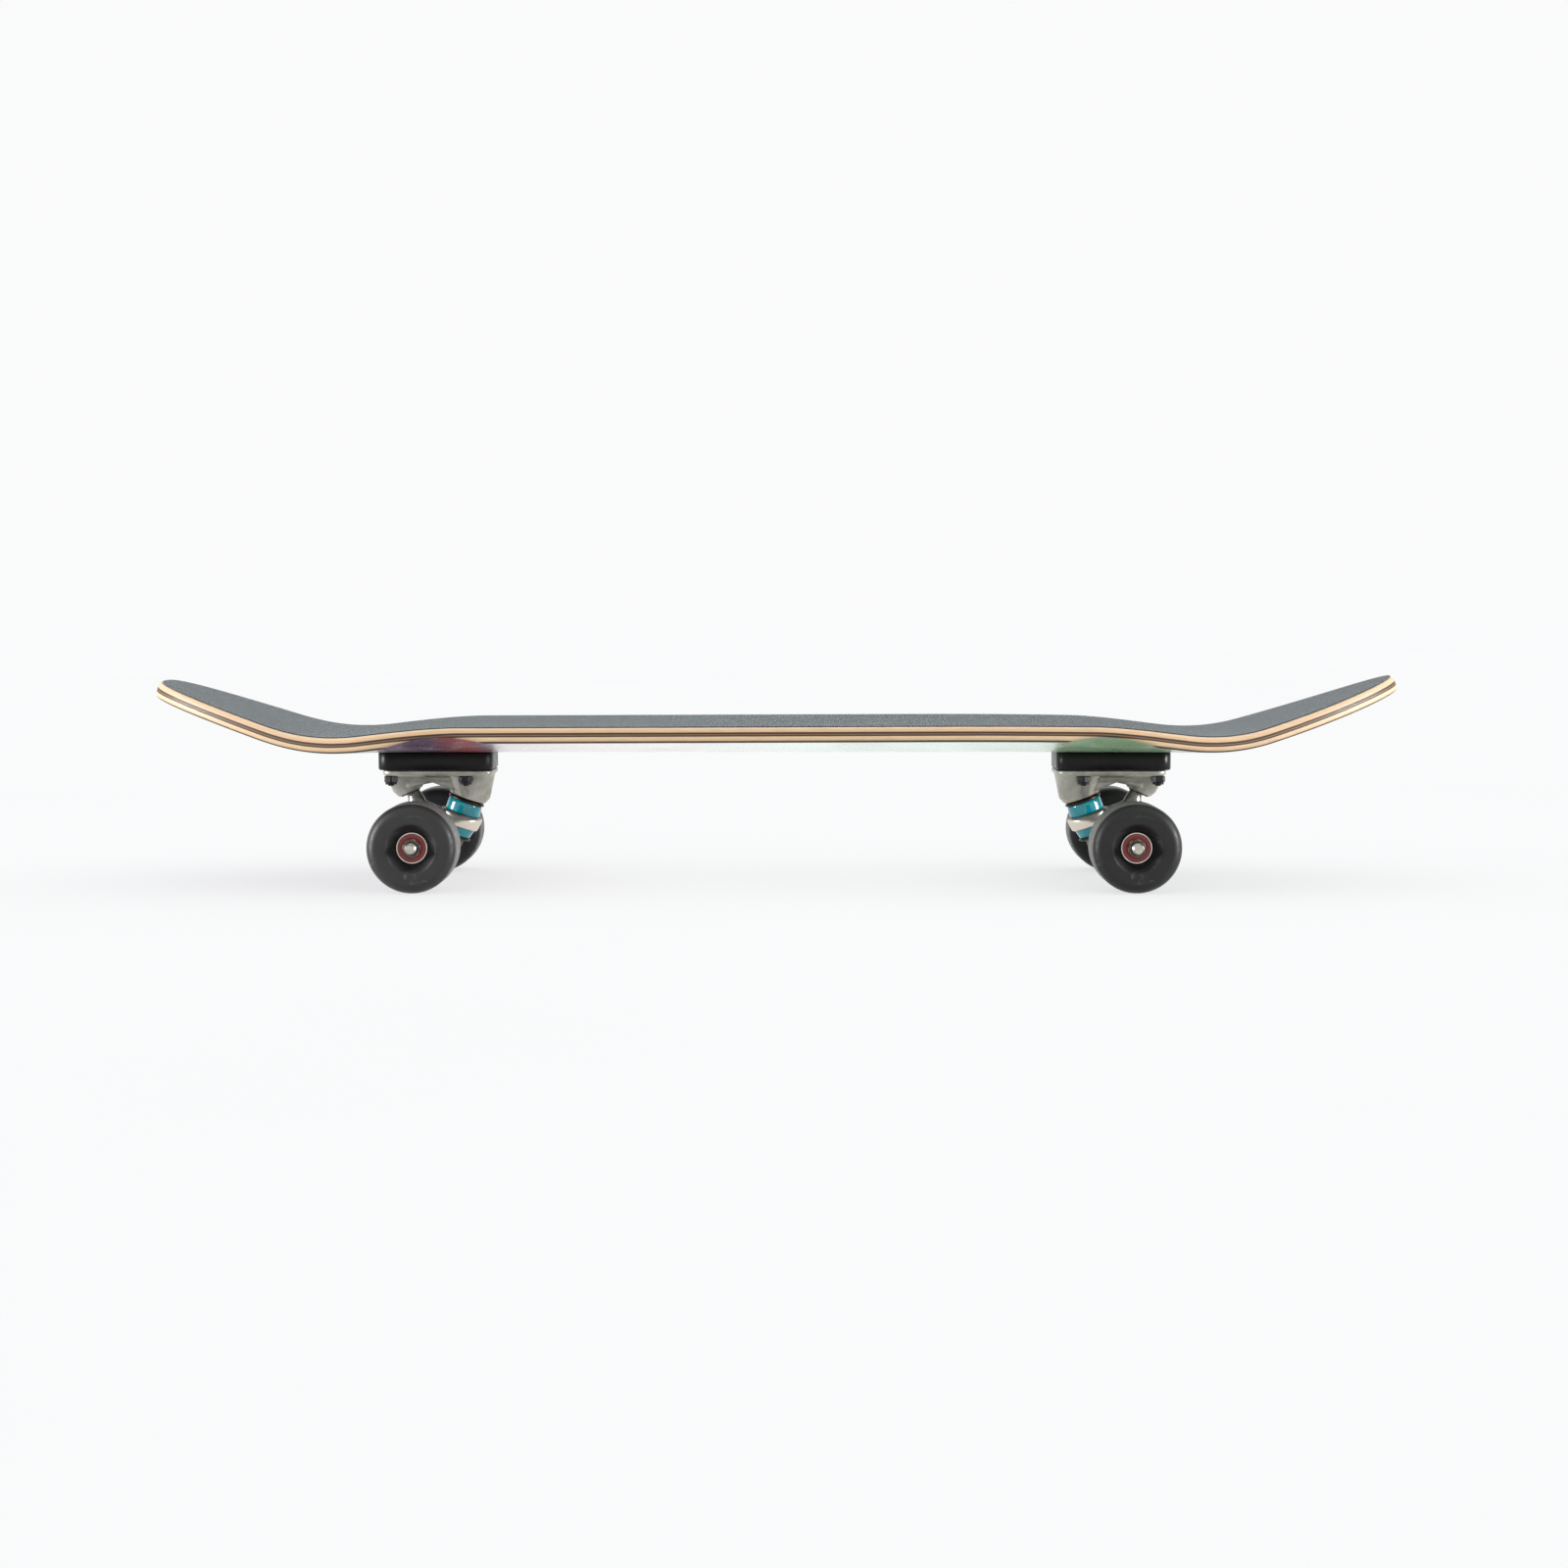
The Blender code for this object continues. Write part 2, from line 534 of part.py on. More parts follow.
def build_hanger(prefix, truck, pin_frame, steer):
    """The cast hanger: web, ring, arms and pivot stem, hollowed below the ring."""
    web_outline = [(x - PIVOT.x, z - PIVOT.z) for x, z in (
        (-0.0168, 0.0595), (-0.0080, 0.0615), (-0.0045, 0.0586), (0.0015, 0.0548), (0.0090, 0.0526),
        (0.0140, 0.0480), (0.0100, 0.0400), (0.0080, 0.0300), (0.0020, 0.0215), (-0.0080, 0.0210),
        (-0.0135, 0.0270), (-0.0155, 0.0400), (-0.0172, 0.0520),
    )]
    hanger = as_part(side_plate(prefix + "_hanger", web_outline, WEB_HALF_WIDTH, steer), "cast_alloy")
    ring = turned(prefix + "_ring", rod_profile(RING_RADIUS, RING_TOP, RING_BOTTOM), 24)
    add_boolean(hanger, place(as_cutter(ring), pin_frame), "UNION")
    half = HANGER_HALF_WIDTH
    arms = turned(prefix + "_arms", [
        (0.0, half), (ARM_END_RADIUS, half), (ARM_ROOT_RADIUS, 0.2 * half),
        (ARM_ROOT_RADIUS, -0.2 * half), (ARM_END_RADIUS, -half), (0.0, -half),
    ], 20)
    place(as_cutter(arms), truck, (AXLE_X, 0, AXLE_Z), (math.pi / 2, 0, 0))
    add_boolean(hanger, arms, "UNION")
    ball = [(BALL_RADIUS * math.cos(math.radians(angle)), BALL_RADIUS * math.sin(math.radians(angle)))
            for angle in (90, 60, 30, 0, -25)]
    stem = turned(prefix + "_stem", ball + [
        (STEM_RADIUS, -0.0042), (STEM_RADIUS, -0.0075), (0.0062, -0.0140), (0.0, -0.0160),
    ], 16)
    place(as_cutter(stem), truck, PIVOT, (0, PIVOT_STEM_TILT, 0))
    add_boolean(hanger, stem, "UNION")
    recess = turned(prefix + "_recess", rod_profile(RECESS_RADIUS_X, RECESS_TOP, RECESS_BOTTOM), 24)
    place(as_cutter(recess), pin_frame)
    recess.scale = (1.0, RECESS_RADIUS_Y / RECESS_RADIUS_X, 1.0)
    add_boolean(hanger, recess, "DIFFERENCE")
    pin_hole = turned(prefix + "_ring_hole", rod_profile(RING_HOLE_RADIUS, 0.01, RECESS_BOTTOM), 20)
    add_boolean(hanger, place(as_cutter(pin_hole), pin_frame), "DIFFERENCE")
    axle_bore = turned(prefix + "_axle_bore", rod_profile(AXLE_RADIUS + GAP, 0.1, -0.1), 16)
    place(as_cutter(axle_bore), truck, (AXLE_X, 0, AXLE_Z), (math.pi / 2, 0, 0))
    add_boolean(hanger, axle_bore, "DIFFERENCE")


def wheel_profile():
    """The wheel's closed profile: tread, rounded lips, side faces, dishes and bearing seats."""
    half = [
        (WHEEL_RADIUS, 0.01375), (0.0306, 0.0180), (0.0246, 0.0210), (0.0175, 0.0210),
        (0.0135, 0.0135), (BEARING_RADIUS + GAP, 0.0130),
        (BEARING_RADIUS + GAP, BEARING_FACE_Y - BEARING_WIDTH - GAP),
        (0.0090, BEARING_FACE_Y - BEARING_WIDTH - GAP),
    ]
    lower = [(radius, -height) for radius, height in half]
    return lower + half[::-1]


def build_wheel_set(prefix, side_name, side, steer, axle_place):
    """One wheel with its two bearings, the spacer inside it and its axle nut."""
    name = prefix + "_" + side_name
    along_axle = (-math.pi / 2, 0, 0)
    centre = axle_place + Vector((0, side * WHEEL_CENTRE_Y, 0))
    wheel = turned(name + "_wheel", wheel_profile(), 24, closed=True)
    place(as_part(wheel, "grey_urethane"), steer, centre, along_axle)
    bearing_middle = BEARING_FACE_Y - BEARING_WIDTH / 2
    for where, direction in (("outer", side), ("inner", -side)):
        profile = ring_profile(BEARING_RADIUS, INNER_RACE_RADIUS + GAP, BEARING_WIDTH / 2,
                               -BEARING_WIDTH / 2)
        bearing = turned(name + "_" + where + "_bearing", profile, 16, closed=True)
        place(as_part(bearing, "red_shield"), steer,
              centre + Vector((0, direction * bearing_middle, 0)), along_axle)
    profile = ring_profile(INNER_RACE_RADIUS, AXLE_RADIUS + GAP, SPACER_HALF_LENGTH, -SPACER_HALF_LENGTH)
    spacer = turned(name + "_bearing_spacer", profile, 16, closed=True)
    place(as_part(spacer, "bright_steel"), steer, centre, along_axle)
    axle_nut = nut(name + "_axle_nut", AXLE_NUT_ACROSS_FLATS, AXLE_NUT_END_Y - AXLE_NUT_START_Y,
                   AXLE_RADIUS + GAP)
    nut_y = (AXLE_NUT_START_Y + AXLE_NUT_END_Y) / 2
    place(axle_nut, steer, axle_place + Vector((0, side * nut_y, 0)), along_axle)


def build_mount_hardware(prefix, truck):
    """Four countersunk bolts and four nuts that hold the truck to the deck."""
    number = 0
    for side_x in (-1, 1):
        for side_y in (-1, 1):
            number += 1
            place_xy = (side_x * BOLT_HALF_SPACING_X, side_y * BOLT_HALF_SPACING_Y)
            bolt = turned(prefix + "_mount_bolt_" + str(number), bolt_profile(0.0), 10)
            place(as_part(bolt, "black_oxide"), truck, (*place_xy, 0))
            nut_z = FLANGE_TOP_Z - FLANGE_THICKNESS - GAP - MOUNT_NUT_HEIGHT / 2
            mount_nut = nut(prefix + "_mount_nut_" + str(number), MOUNT_NUT_ACROSS_FLATS,
                            MOUNT_NUT_HEIGHT, BOLT_HOLE_RADIUS)
            place(mount_nut, truck, (*place_xy, nut_z))


def build_truck(prefix, truck_x, heading):
    """One whole truck; heading turns its inboard side towards the middle of the board."""
    truck = add_empty(prefix + "_truck", None, (truck_x, 0, 0), (0, 0, heading))
    pin_frame = add_empty(prefix + "_kingpin_axis", truck, KINGPIN_ORIGIN, (0, KINGPIN_TILT, 0))
    steer = add_empty(prefix + "_steer_axis", truck, PIVOT)
    build_riser(prefix, truck)
    build_baseplate(prefix, truck, pin_frame)
    build_pivot_cup(prefix, truck)
    build_kingpin_stack(prefix, pin_frame)
    build_hanger(prefix, truck, pin_frame, steer)
    axle_place = Vector((AXLE_X, 0, AXLE_Z)) - PIVOT
    axle = turned(prefix + "_axle", rod_profile(AXLE_RADIUS, AXLE_HALF_LENGTH, -AXLE_HALF_LENGTH), 16)
    place(as_part(axle, "bright_steel"), steer, axle_place, (-math.pi / 2, 0, 0))
    left = 1 if heading == 0 else -1
    for side_name, side in (("left", left), ("right", -left)):
        build_wheel_set(prefix, side_name, side, steer, axle_place)
    build_mount_hardware(prefix, truck)


# ---------------------------------------------------------------- build
clear_scene()
parts = new_collection("skateboard")
cutters = new_collection("cutters")
build_deck()
build_truck("rear", REAR_TRUCK_X, 0)
build_truck("front", FRONT_TRUCK_X, math.pi)
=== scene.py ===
"""The looks of the skateboard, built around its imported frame.

Metres, +Z up, +X to the nose, in the frame's own coordinates. A truck's pieces are made in the
truck's own coordinates, whose x runs from the middle of its bolt pattern towards the board's middle.
"""
import itertools
import json
import math

import bmesh
import bpy
import numpy as np
from mathutils import Matrix, Vector


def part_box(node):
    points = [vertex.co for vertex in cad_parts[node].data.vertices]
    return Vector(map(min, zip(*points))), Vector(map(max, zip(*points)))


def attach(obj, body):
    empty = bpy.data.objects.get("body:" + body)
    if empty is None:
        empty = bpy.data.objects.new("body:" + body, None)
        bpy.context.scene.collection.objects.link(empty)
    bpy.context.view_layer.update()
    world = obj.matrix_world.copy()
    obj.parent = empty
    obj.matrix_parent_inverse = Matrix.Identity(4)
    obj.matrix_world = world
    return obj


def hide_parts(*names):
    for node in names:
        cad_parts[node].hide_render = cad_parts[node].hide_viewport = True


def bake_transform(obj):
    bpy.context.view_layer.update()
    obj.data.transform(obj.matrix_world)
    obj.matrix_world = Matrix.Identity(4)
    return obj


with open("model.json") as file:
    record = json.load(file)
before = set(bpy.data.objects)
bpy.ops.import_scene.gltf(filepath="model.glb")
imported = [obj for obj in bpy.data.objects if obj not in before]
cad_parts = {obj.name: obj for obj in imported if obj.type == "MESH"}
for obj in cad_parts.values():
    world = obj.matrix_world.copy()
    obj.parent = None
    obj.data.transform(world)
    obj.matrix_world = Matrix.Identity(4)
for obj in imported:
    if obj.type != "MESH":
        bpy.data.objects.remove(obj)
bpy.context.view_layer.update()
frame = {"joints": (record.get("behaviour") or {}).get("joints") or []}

MM = 0.001

# ---- the deck's design
TOP_WIDTH = 0.2246
DECK_THICKNESS = 0.0109
KEEL_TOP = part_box("grip_tape")[0].z - 0.3 * MM   # the tape lies on a gap of 0.3 mm
FLAT_HALF_WIDTH = 0.030
CONCAVE_RISE = 0.0107
CONCAVE_RISE_PER_METRE = 0.0036
CONCAVE_POWER = 1.6
CONCAVE_FADE = (0.220, 0.345)
TAIL_KICK = {"start": 0.2917, "radius": 0.220, "angle": math.radians(18.5), "run_out": 9.5}
NOSE_KICK = {"start": 0.2889, "radius": 0.200, "angle": math.radians(16.75), "run_out": 1.2}
TAIL_OUTLINE = {"shoulder": 0.283, "tip": 0.4462, "along": 1.2, "across": 2.92, "rows": 70}
NOSE_OUTLINE = {"shoulder": 0.080, "tip": 0.4473, "along": 2.68, "across": 1.89, "rows": 140}
MIDDLE_ROWS = 130
CORNER_SHARE = 0.6              # an end's grid corners sit where its half width is this share
EDGE_RADIUS = 0.003             # rounding of the deck's top and bottom edges
TAPE_INSET = 0.0022
TAPE_LIFT = 0.6 * MM
TAPE_THICKNESS = 0.55 * MM
WOOD_COLUMNS, TAPE_COLUMNS = 76, 60         # faces across the deck
WELL_HALF_LENGTH = 0.0385
WELL_DEPTH = 0.0053
WELL_SLOPE = 0.150              # how fast a wheel well thins out towards the keel
WELL_INBOARD = 0.0150

# ---- the trucks' design
KINGPIN_TILT = math.radians(20)
KINGPIN_ORIGIN = Vector((0.0252, 0.0, 0.0579))
PIVOT = Vector((-0.0165, 0.0, 0.0675))
CUP_TILT = math.radians(-24)
AXLE = Vector((-0.0029, 0.0, 0.0315))
HANGER_HALF_WIDTH = 0.0775
AXLE_HALF_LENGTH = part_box("rear_axle")[1].y
CAST_VOXEL = 0.62 * MM
CAST_SMOOTHING = 7              # passes of the smoothing that makes a casting's fillets
BOLT_NUMBERS = (1, 2, 3, 4)


def node_centre(node):
    """Middle of a CAD node's box."""
    low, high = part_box(node)
    return (low + high) / 2


def truck_matrix(prefix):
    """Where a truck's own coordinates stand in the frame."""
    bolts = [node_centre(f"{prefix}_mount_bolt_{number}") for number in BOLT_NUMBERS]
    middle_x = sum(bolt.x for bolt in bolts) / len(bolts)
    heading = 0.0 if prefix == "rear" else math.pi
    return Matrix.Translation((middle_x, 0, 0)) @ Matrix.Rotation(heading, 4, "Z")


TRUCKS = {prefix: truck_matrix(prefix) for prefix in ("rear", "front")}
PIN_FRAME = Matrix.Translation(KINGPIN_ORIGIN) @ Matrix.Rotation(KINGPIN_TILT, 4, "Y")
ALONG_Y = Matrix.Rotation(-math.pi / 2, 4, "X")
UPSIDE_DOWN = Matrix.Rotation(math.pi, 4, "X")


def lift(height):
    """A move along local Z, in millimetres."""
    return Matrix.Translation((0, 0, height * MM))


def mm(*points):
    """Points given in millimetres, in metres."""
    return [tuple(number * MM for number in point) for point in points]


# ---- material helpers
def rgb(red, green, blue):
    """An sRGB colour, 0 to 255 a channel, as a shader's linear colour."""
    linear = []
    for channel in (red / 255, green / 255, blue / 255):
        linear.append(channel / 12.92 if channel <= 0.04045 else ((channel + 0.055) / 1.055) ** 2.4)
    return (*linear, 1.0)


class Finish:
    """A Principled material and the node chains that feed it."""

    def __init__(self, name, roughness, metallic=0.0, **sockets):
        self.material = bpy.data.materials.new(name)
        self.material.use_nodes = True
        self.tree = self.material.node_tree
        self.shader = self.tree.nodes["Principled BSDF"]
        self.shader.inputs["Roughness"].default_value = roughness
        self.shader.inputs["Metallic"].default_value = metallic
        for socket, value in sockets.items():
            self.shader.inputs[socket.replace("_", " ")].default_value = value
        self.place = self.tree.nodes.new("ShaderNodeTexCoord").outputs["Object"]

    def link(self, source, target):
        self.tree.links.new(source, target)

    def node(self, kind, sockets, **settings):
        """A new node with its settings; its sockets get values or links."""
        made = self.tree.nodes.new(kind)
        for name, value in settings.items():
            setattr(made, name, value)
        for name, value in sockets.items():
            if isinstance(value, bpy.types.NodeSocket):
                self.link(value, made.inputs[name])
            else:
                made.inputs[name].default_value = value
        return made

    def stretched(self, x, y, z):
        """Object coordinates scaled along each axis."""
        made = self.node("ShaderNodeMapping", {"Vector": self.place, "Scale": (x, y, z)})
        return made.outputs["Vector"]

    def noise(self, scale, detail=4.0, roughness=0.55, distortion=0.0, vector=None):
        return self.node("ShaderNodeTexNoise", {
            "Vector": vector or self.place, "Scale": scale, "Detail": detail,
            "Roughness": roughness, "Distortion": distortion}).outputs["Fac"]

    def cells(self, scale):
        """Distance to the nearest of many scattered points."""
        made = self.node("ShaderNodeTexVoronoi", {"Vector": self.place, "Scale": scale})
        return made.outputs["Distance"]

    def attribute(self, name):
        return self.node("ShaderNodeAttribute", {}, attribute_name=name).outputs["Fac"]

    def axis(self, name):
        """One of the object coordinates, in metres."""
        return self.node("ShaderNodeSeparateXYZ", {0: self.place}).outputs[name]

    def math(self, operation, first, second):
        return self.node("ShaderNodeMath", {0: first, 1: second}, operation=operation).outputs[0]

    def ramp(self, factor, stops):
        """A colour ramp; stops are (place, colour or grey)."""
        made = self.node("ShaderNodeValToRGB", {"Fac": factor})
        while len(made.color_ramp.elements) < len(stops):
            made.color_ramp.elements.new(0.5)
        for element, (place, colour) in zip(made.color_ramp.elements, stops):
            element.position = place
            element.color = colour if isinstance(colour, tuple) else (colour, colour, colour, 1.0)
        return made.outputs["Color"]

    def mix(self, factor, first, second, blend="MIX"):
        """Two colours mixed; 6, 7 and 2 are the node's colour sockets."""
        made = self.node("ShaderNodeMix", {0: factor, 6: first, 7: second},
                         data_type="RGBA", blend_type=blend)
        return made.outputs[2]

    def colour(self, source):
        self.link(source, self.shader.inputs["Base Color"])

    def roughness(self, factor, low, high):
        """Roughness that runs from low to high with a factor."""
        self.link(self.ramp(factor, [(0.3, low), (0.7, high)]), self.shader.inputs["Roughness"])

    def bump(self, height, strength, distance):
        """Adds relief, on top of any that is there."""
        made = self.node("ShaderNodeBump", {"Strength": strength, "Distance": distance, "Height": height})
        normal = self.shader.inputs["Normal"]
        if normal.is_linked:
            self.link(normal.links[0].from_socket, made.inputs["Normal"])
        self.link(made.outputs["Normal"], normal)


# ---- materials
def ply_edge_finish():
    """Seven maple plies seen on the deck's edge; 'ply' runs from 0 at the top to 1 at the bottom."""
    finish = Finish("deck_ply_edge", 0.5, Specular_IOR_Level=0.4)
    waver = finish.noise(18, 2, vector=finish.stretched(1, 1, 6))
    shifted = finish.math("ADD", finish.attribute("ply"),
                          finish.math("MULTIPLY", finish.math("SUBTRACT", waver, 0.5), 0.03))
    # The band from 0.91 to the bottom is dark: partly the underside paint's edge, partly painted shade on
    # the downward-facing bottom rounding.
    plies = finish.ramp(shifted, [
        (0.0, rgb(196, 176, 150)), (0.13, rgb(192, 167, 138)), (0.16, rgb(186, 157, 125)),
        (0.33, rgb(182, 151, 118)), (0.355, rgb(134, 105, 78)), (0.375, rgb(44, 29, 17)),
        (0.465, rgb(46, 31, 19)), (0.485, rgb(112, 85, 60)), (0.53, rgb(108, 81, 56)),
        (0.55, rgb(42, 28, 17)), (0.61, rgb(50, 34, 22)), (0.635, rgb(160, 134, 104)),
        (0.66, rgb(188, 163, 132)), (0.885, rgb(182, 153, 121)), (0.91, rgb(66, 54, 40)),
        (1.0, rgb(60, 49, 40))])
    grain = finish.noise(260, 5, 0.6, vector=finish.stretched(0.35, 0.35, 5))
    tone = finish.ramp(grain, [(0.3, 0.86), (0.7, 1.08)])
    finish.colour(finish.mix(1.0, plies, tone, "MULTIPLY"))
    finish.roughness(grain, 0.42, 0.62)
    finish.bump(grain, 0.12, 0.0004)
    return finish.material


def bare_wood_finish():
    """The top veneer, which only shows round the tape and in the bolt holes."""
    finish = Finish("deck_top_veneer", 0.5)
    grain = finish.noise(90, 6, 0.6, 0.6, finish.stretched(0.12, 2.2, 1))
    finish.colour(finish.ramp(grain, [(0.3, rgb(222, 196, 164)), (0.7, rgb(240, 222, 198))]))
    finish.roughness(grain, 0.4, 0.55)
    finish.bump(grain, 0.1, 0.0003)
    return finish.material


def underside_finish():
    """A plain wash of colour over the underside, purple at the tail to sage green at the nose."""
    finish = Finish("deck_underside", 0.3, Specular_IOR_Level=0.5, Coat_Weight=0.4, Coat_Roughness=0.1)
    swirl = finish.math("SUBTRACT", finish.noise(34, 4, 0.55, 1.6), 0.5)
    drift = finish.math("MULTIPLY", swirl, 0.035)
    along = finish.math("MULTIPLY", finish.axis("X"), 1.1)
    along = finish.math("ADD", finish.math("ADD", along, 0.5), drift)
    wash = finish.ramp(along, [
        (0.0, rgb(62, 46, 86)), (0.16, rgb(76, 54, 92)), (0.235, rgb(92, 62, 94)),
        (0.249, rgb(146, 50, 62)), (0.268, rgb(156, 62, 70)), (0.274, rgb(100, 68, 98)),
        (0.280, rgb(120, 88, 112)), (0.292, rgb(244, 236, 234)), (0.42, rgb(246, 243, 240)),
        (0.52, rgb(238, 249, 242)), (0.70, rgb(222, 243, 228)), (0.722, rgb(136, 168, 130)),
        (0.86, rgb(120, 156, 118)), (1.0, rgb(98, 142, 116))])
    cloud = finish.ramp(finish.noise(15, 5, 0.55, 0.5), [(0.3, 0.84), (0.5, 1.0), (0.7, 1.1)])
    tinted = finish.mix(1.0, wash, cloud, "MULTIPLY")
    stripes = finish.noise(15, 3, 0.5, 2.0, finish.stretched(1, 2.5, 1))
    wisps = finish.ramp(stripes, [(0.493, 0.0), (0.5, 0.36), (0.507, 0.0)])
    flecks = finish.ramp(finish.cells(170), [(0.06, 0.85), (0.10, 0.0)])
    ends = finish.ramp(along, [(0.27, 1.0), (0.29, 0.0), (0.71, 0.0), (0.73, 1.0)])
    marks = finish.math("MULTIPLY", finish.math("MAXIMUM", flecks, wisps), ends)
    speckled = finish.mix(marks, tinted, rgb(226, 220, 216))
    finish.colour(speckled)
    finish.roughness(finish.noise(60, 4), 0.24, 0.4)
    finish.bump(finish.noise(70, 6, 0.6, 0.5, finish.stretched(0.15, 2, 1)), 0.04, 0.0003)
    return finish.material


def grip_finish():
    """Black abrasive sheet: dark grit; the bright specks at the grains' middles are painted glints."""
    finish = Finish("grip_grit", 0.9, Specular_IOR_Level=0.55, Sheen_Weight=0.37, Sheen_Roughness=0.5)
    finish.shader.inputs["Sheen Tint"].default_value = rgb(203, 215, 219)
    grit = finish.cells(2600)
    broad = finish.noise(22, 3)
    # painted glints: the light tone at each grain's middle
    base = finish.ramp(grit, [(0.0, rgb(92, 96, 98)), (0.18, rgb(34, 36, 38)), (0.5, rgb(19, 20, 21))])
    speckle = finish.noise(850, 3, 0.7)
    grains = finish.mix(1.0, base, finish.ramp(speckle, [(0.38, 0.55), (0.62, 1.6)]), "MULTIPLY")
    finish.colour(finish.mix(1.0, grains, finish.ramp(broad, [(0.3, 0.88), (0.7, 1.1)]), "MULTIPLY"))
    finish.roughness(finish.noise(900, 2), 0.78, 0.97)
    finish.bump(grit, 0.55, 0.0004)
    finish.bump(speckle, 0.5, 0.0008)
    return finish.material


def cast_finish(name, dark, light, roughness, metallic, painted_highlight=None):
    """Raw cast alloy: mottled, with a sandy skin; on a hanger, a pale band on the lower flank of the ring
    is a painted highlight.
    """
    finish = Finish(name, roughness, metallic, Specular_IOR_Level=0.5)
    base = finish.ramp(finish.noise(70, 6, 0.62, 0.3), [(0.28, dark), (0.72, light)])
    if painted_highlight:
        # painted highlight: a pale band low on the ring's flank, towards the board's middle
        below = finish.ramp(finish.math("MULTIPLY", finish.axis("Z"), 10), [(0.436, 1.0), (0.450, 0.0)])
        inboard = finish.ramp(finish.math("MULTIPLY", finish.axis("X"), 10), [(0.13, 0.0), (0.18, 1.0)])
        base = finish.mix(finish.math("MULTIPLY", below, inboard), base, painted_highlight)
    finish.colour(base)
    finish.roughness(finish.noise(240, 5), roughness - 0.08, roughness + 0.12)
    finish.bump(finish.noise(1400, 4, 0.7), 0.22, 0.00025)
    finish.bump(finish.noise(160, 3), 0.12, 0.0005)
    return finish.material


def wheel_finish(name, face, tread, specular):
    """Dark urethane; 'reach' is the distance from the axle, so that the tread shows its wear.

    The side that faces the truck is darkened through a second attribute: painted shade, for the shade under
    the board.
    """
    finish = Finish(name, 0.48, Specular_IOR_Level=specular)
    cloud = finish.ramp(finish.noise(90, 5, 0.6, 0.4), [(0.3, 0.9), (0.7, 1.1)])
    reach = finish.attribute("reach")
    edge = tuple(0.7 * channel for channel in face[:3]) + (1.0,)
    worn = finish.ramp(reach, [(0.0, face), (0.90, face), (0.978, edge), (0.986, tread), (1.0, tread)])
    scuff_noise = finish.noise(55, 6, 0.72, 1.0, finish.stretched(1.0, 3.0, 1.0))
    scuffs = finish.math("MULTIPLY", finish.ramp(scuff_noise, [(0.60, 0.0), (0.72, 1.0)]), 0.28)
    # painted shade: the side that faces the truck is mixed towards near-black
    base = finish.mix(1.0, finish.mix(finish.attribute("painted_shade"), worn, rgb(9, 9, 10)), cloud, "MULTIPLY")
    finish.colour(finish.mix(scuffs, base, rgb(120, 120, 119)))
    finish.roughness(finish.noise(160, 5), 0.38, 0.6)
    finish.bump(finish.noise(900, 4), 0.08, 0.0002)
    return finish.material


# Each surface's noises (scale, detail) for colour, roughness and bump, how far its roughness runs
# below and above the stated one, and its bump's strength and depth.
SURFACES = {
    "urethane": ((120, 4), (300, 4), (-0.05, 0.1), (700, 3), (0.04, 0.0002)),
    "steel": ((220, 5), (500, 4), (-0.06, 0.1), (1800, 3), (0.06, 0.0001)),
    "plastic": ((180, 4), (300, 3), (-0.07, 0.08), (900, 3), (0.08, 0.0002)),
    "moulding": ((40, 3), (120, 4), (-0.04, 0.08), (1500, 3), (0.15, 0.0002)),
}


def plain_finish(surface, name, dark, light, roughness, metallic=0.0, **sockets):
    """One of the SURFACES between a dark and a light tone."""
    cloud, gloss, span, skin, relief = SURFACES[surface]
    finish = Finish(name, roughness, metallic, **sockets)
    finish.colour(finish.ramp(finish.noise(*cloud), [(0.3, dark), (0.7, light)]))
    finish.roughness(finish.noise(*gloss), roughness + span[0], roughness + span[1])
    finish.bump(finish.noise(*skin), *relief)
    return finish.material


FINISHES = {
    "edge": ply_edge_finish(),
    "veneer": bare_wood_finish(),
    "underside": underside_finish(),
    "grip": grip_finish(),
    "riser": plain_finish("moulding", "riser_black", rgb(7, 7, 8), rgb(12, 12, 12), 0.3,
                          Specular_IOR_Level=0.22),
    "cast": cast_finish("baseplate_cast", rgb(134, 132, 124), rgb(182, 180, 170), 0.34, 0.65),
    # the hanger's last colour is the pale band of painted highlight on its ring
    "hanger": cast_finish("hanger_cast", rgb(104, 103, 98), rgb(140, 139, 132), 0.32, 0.85,
                          rgb(222, 211, 198)),
    "teal": plain_finish("urethane", "bushing_teal", rgb(0, 106, 119), rgb(0, 130, 142), 0.14,
                         Specular_IOR_Level=0.5, Subsurface_Weight=0.12, Subsurface_Scale=0.004,
                         Coat_Weight=0.5, Coat_Roughness=0.08),
    "bronze": plain_finish("steel", "washer_bronze", rgb(40, 29, 25), rgb(62, 47, 40), 0.34, 1.0),
    "oxide": plain_finish("steel", "hardware_black", rgb(20, 20, 21), rgb(38, 38, 40), 0.36, 0.6),
    "zinc": plain_finish("steel", "steel_zinc", rgb(168, 162, 152), rgb(205, 200, 190), 0.26, 1.0),
    "nut": plain_finish("steel", "nut_grey", rgb(74, 70, 64), rgb(108, 102, 94), 0.36, 1.0),
    "race": plain_finish("steel", "bearing_steel", rgb(172, 164, 156), rgb(206, 198, 190), 0.24, 1.0),
    "shield": plain_finish("plastic", "bearing_shield_red", rgb(126, 42, 41), rgb(148, 57, 54), 0.42),
    "nylon": plain_finish("plastic", "nylon_black", rgb(20, 20, 20), rgb(34, 34, 34), 0.45),
    "rear_wheel": wheel_finish("wheel_rear_grey", rgb(34, 34, 35), rgb(88, 88, 86), 0.34),
    "front_wheel": wheel_finish("wheel_front_grey", rgb(27, 27, 28), rgb(82, 82, 80), 0.25),
}


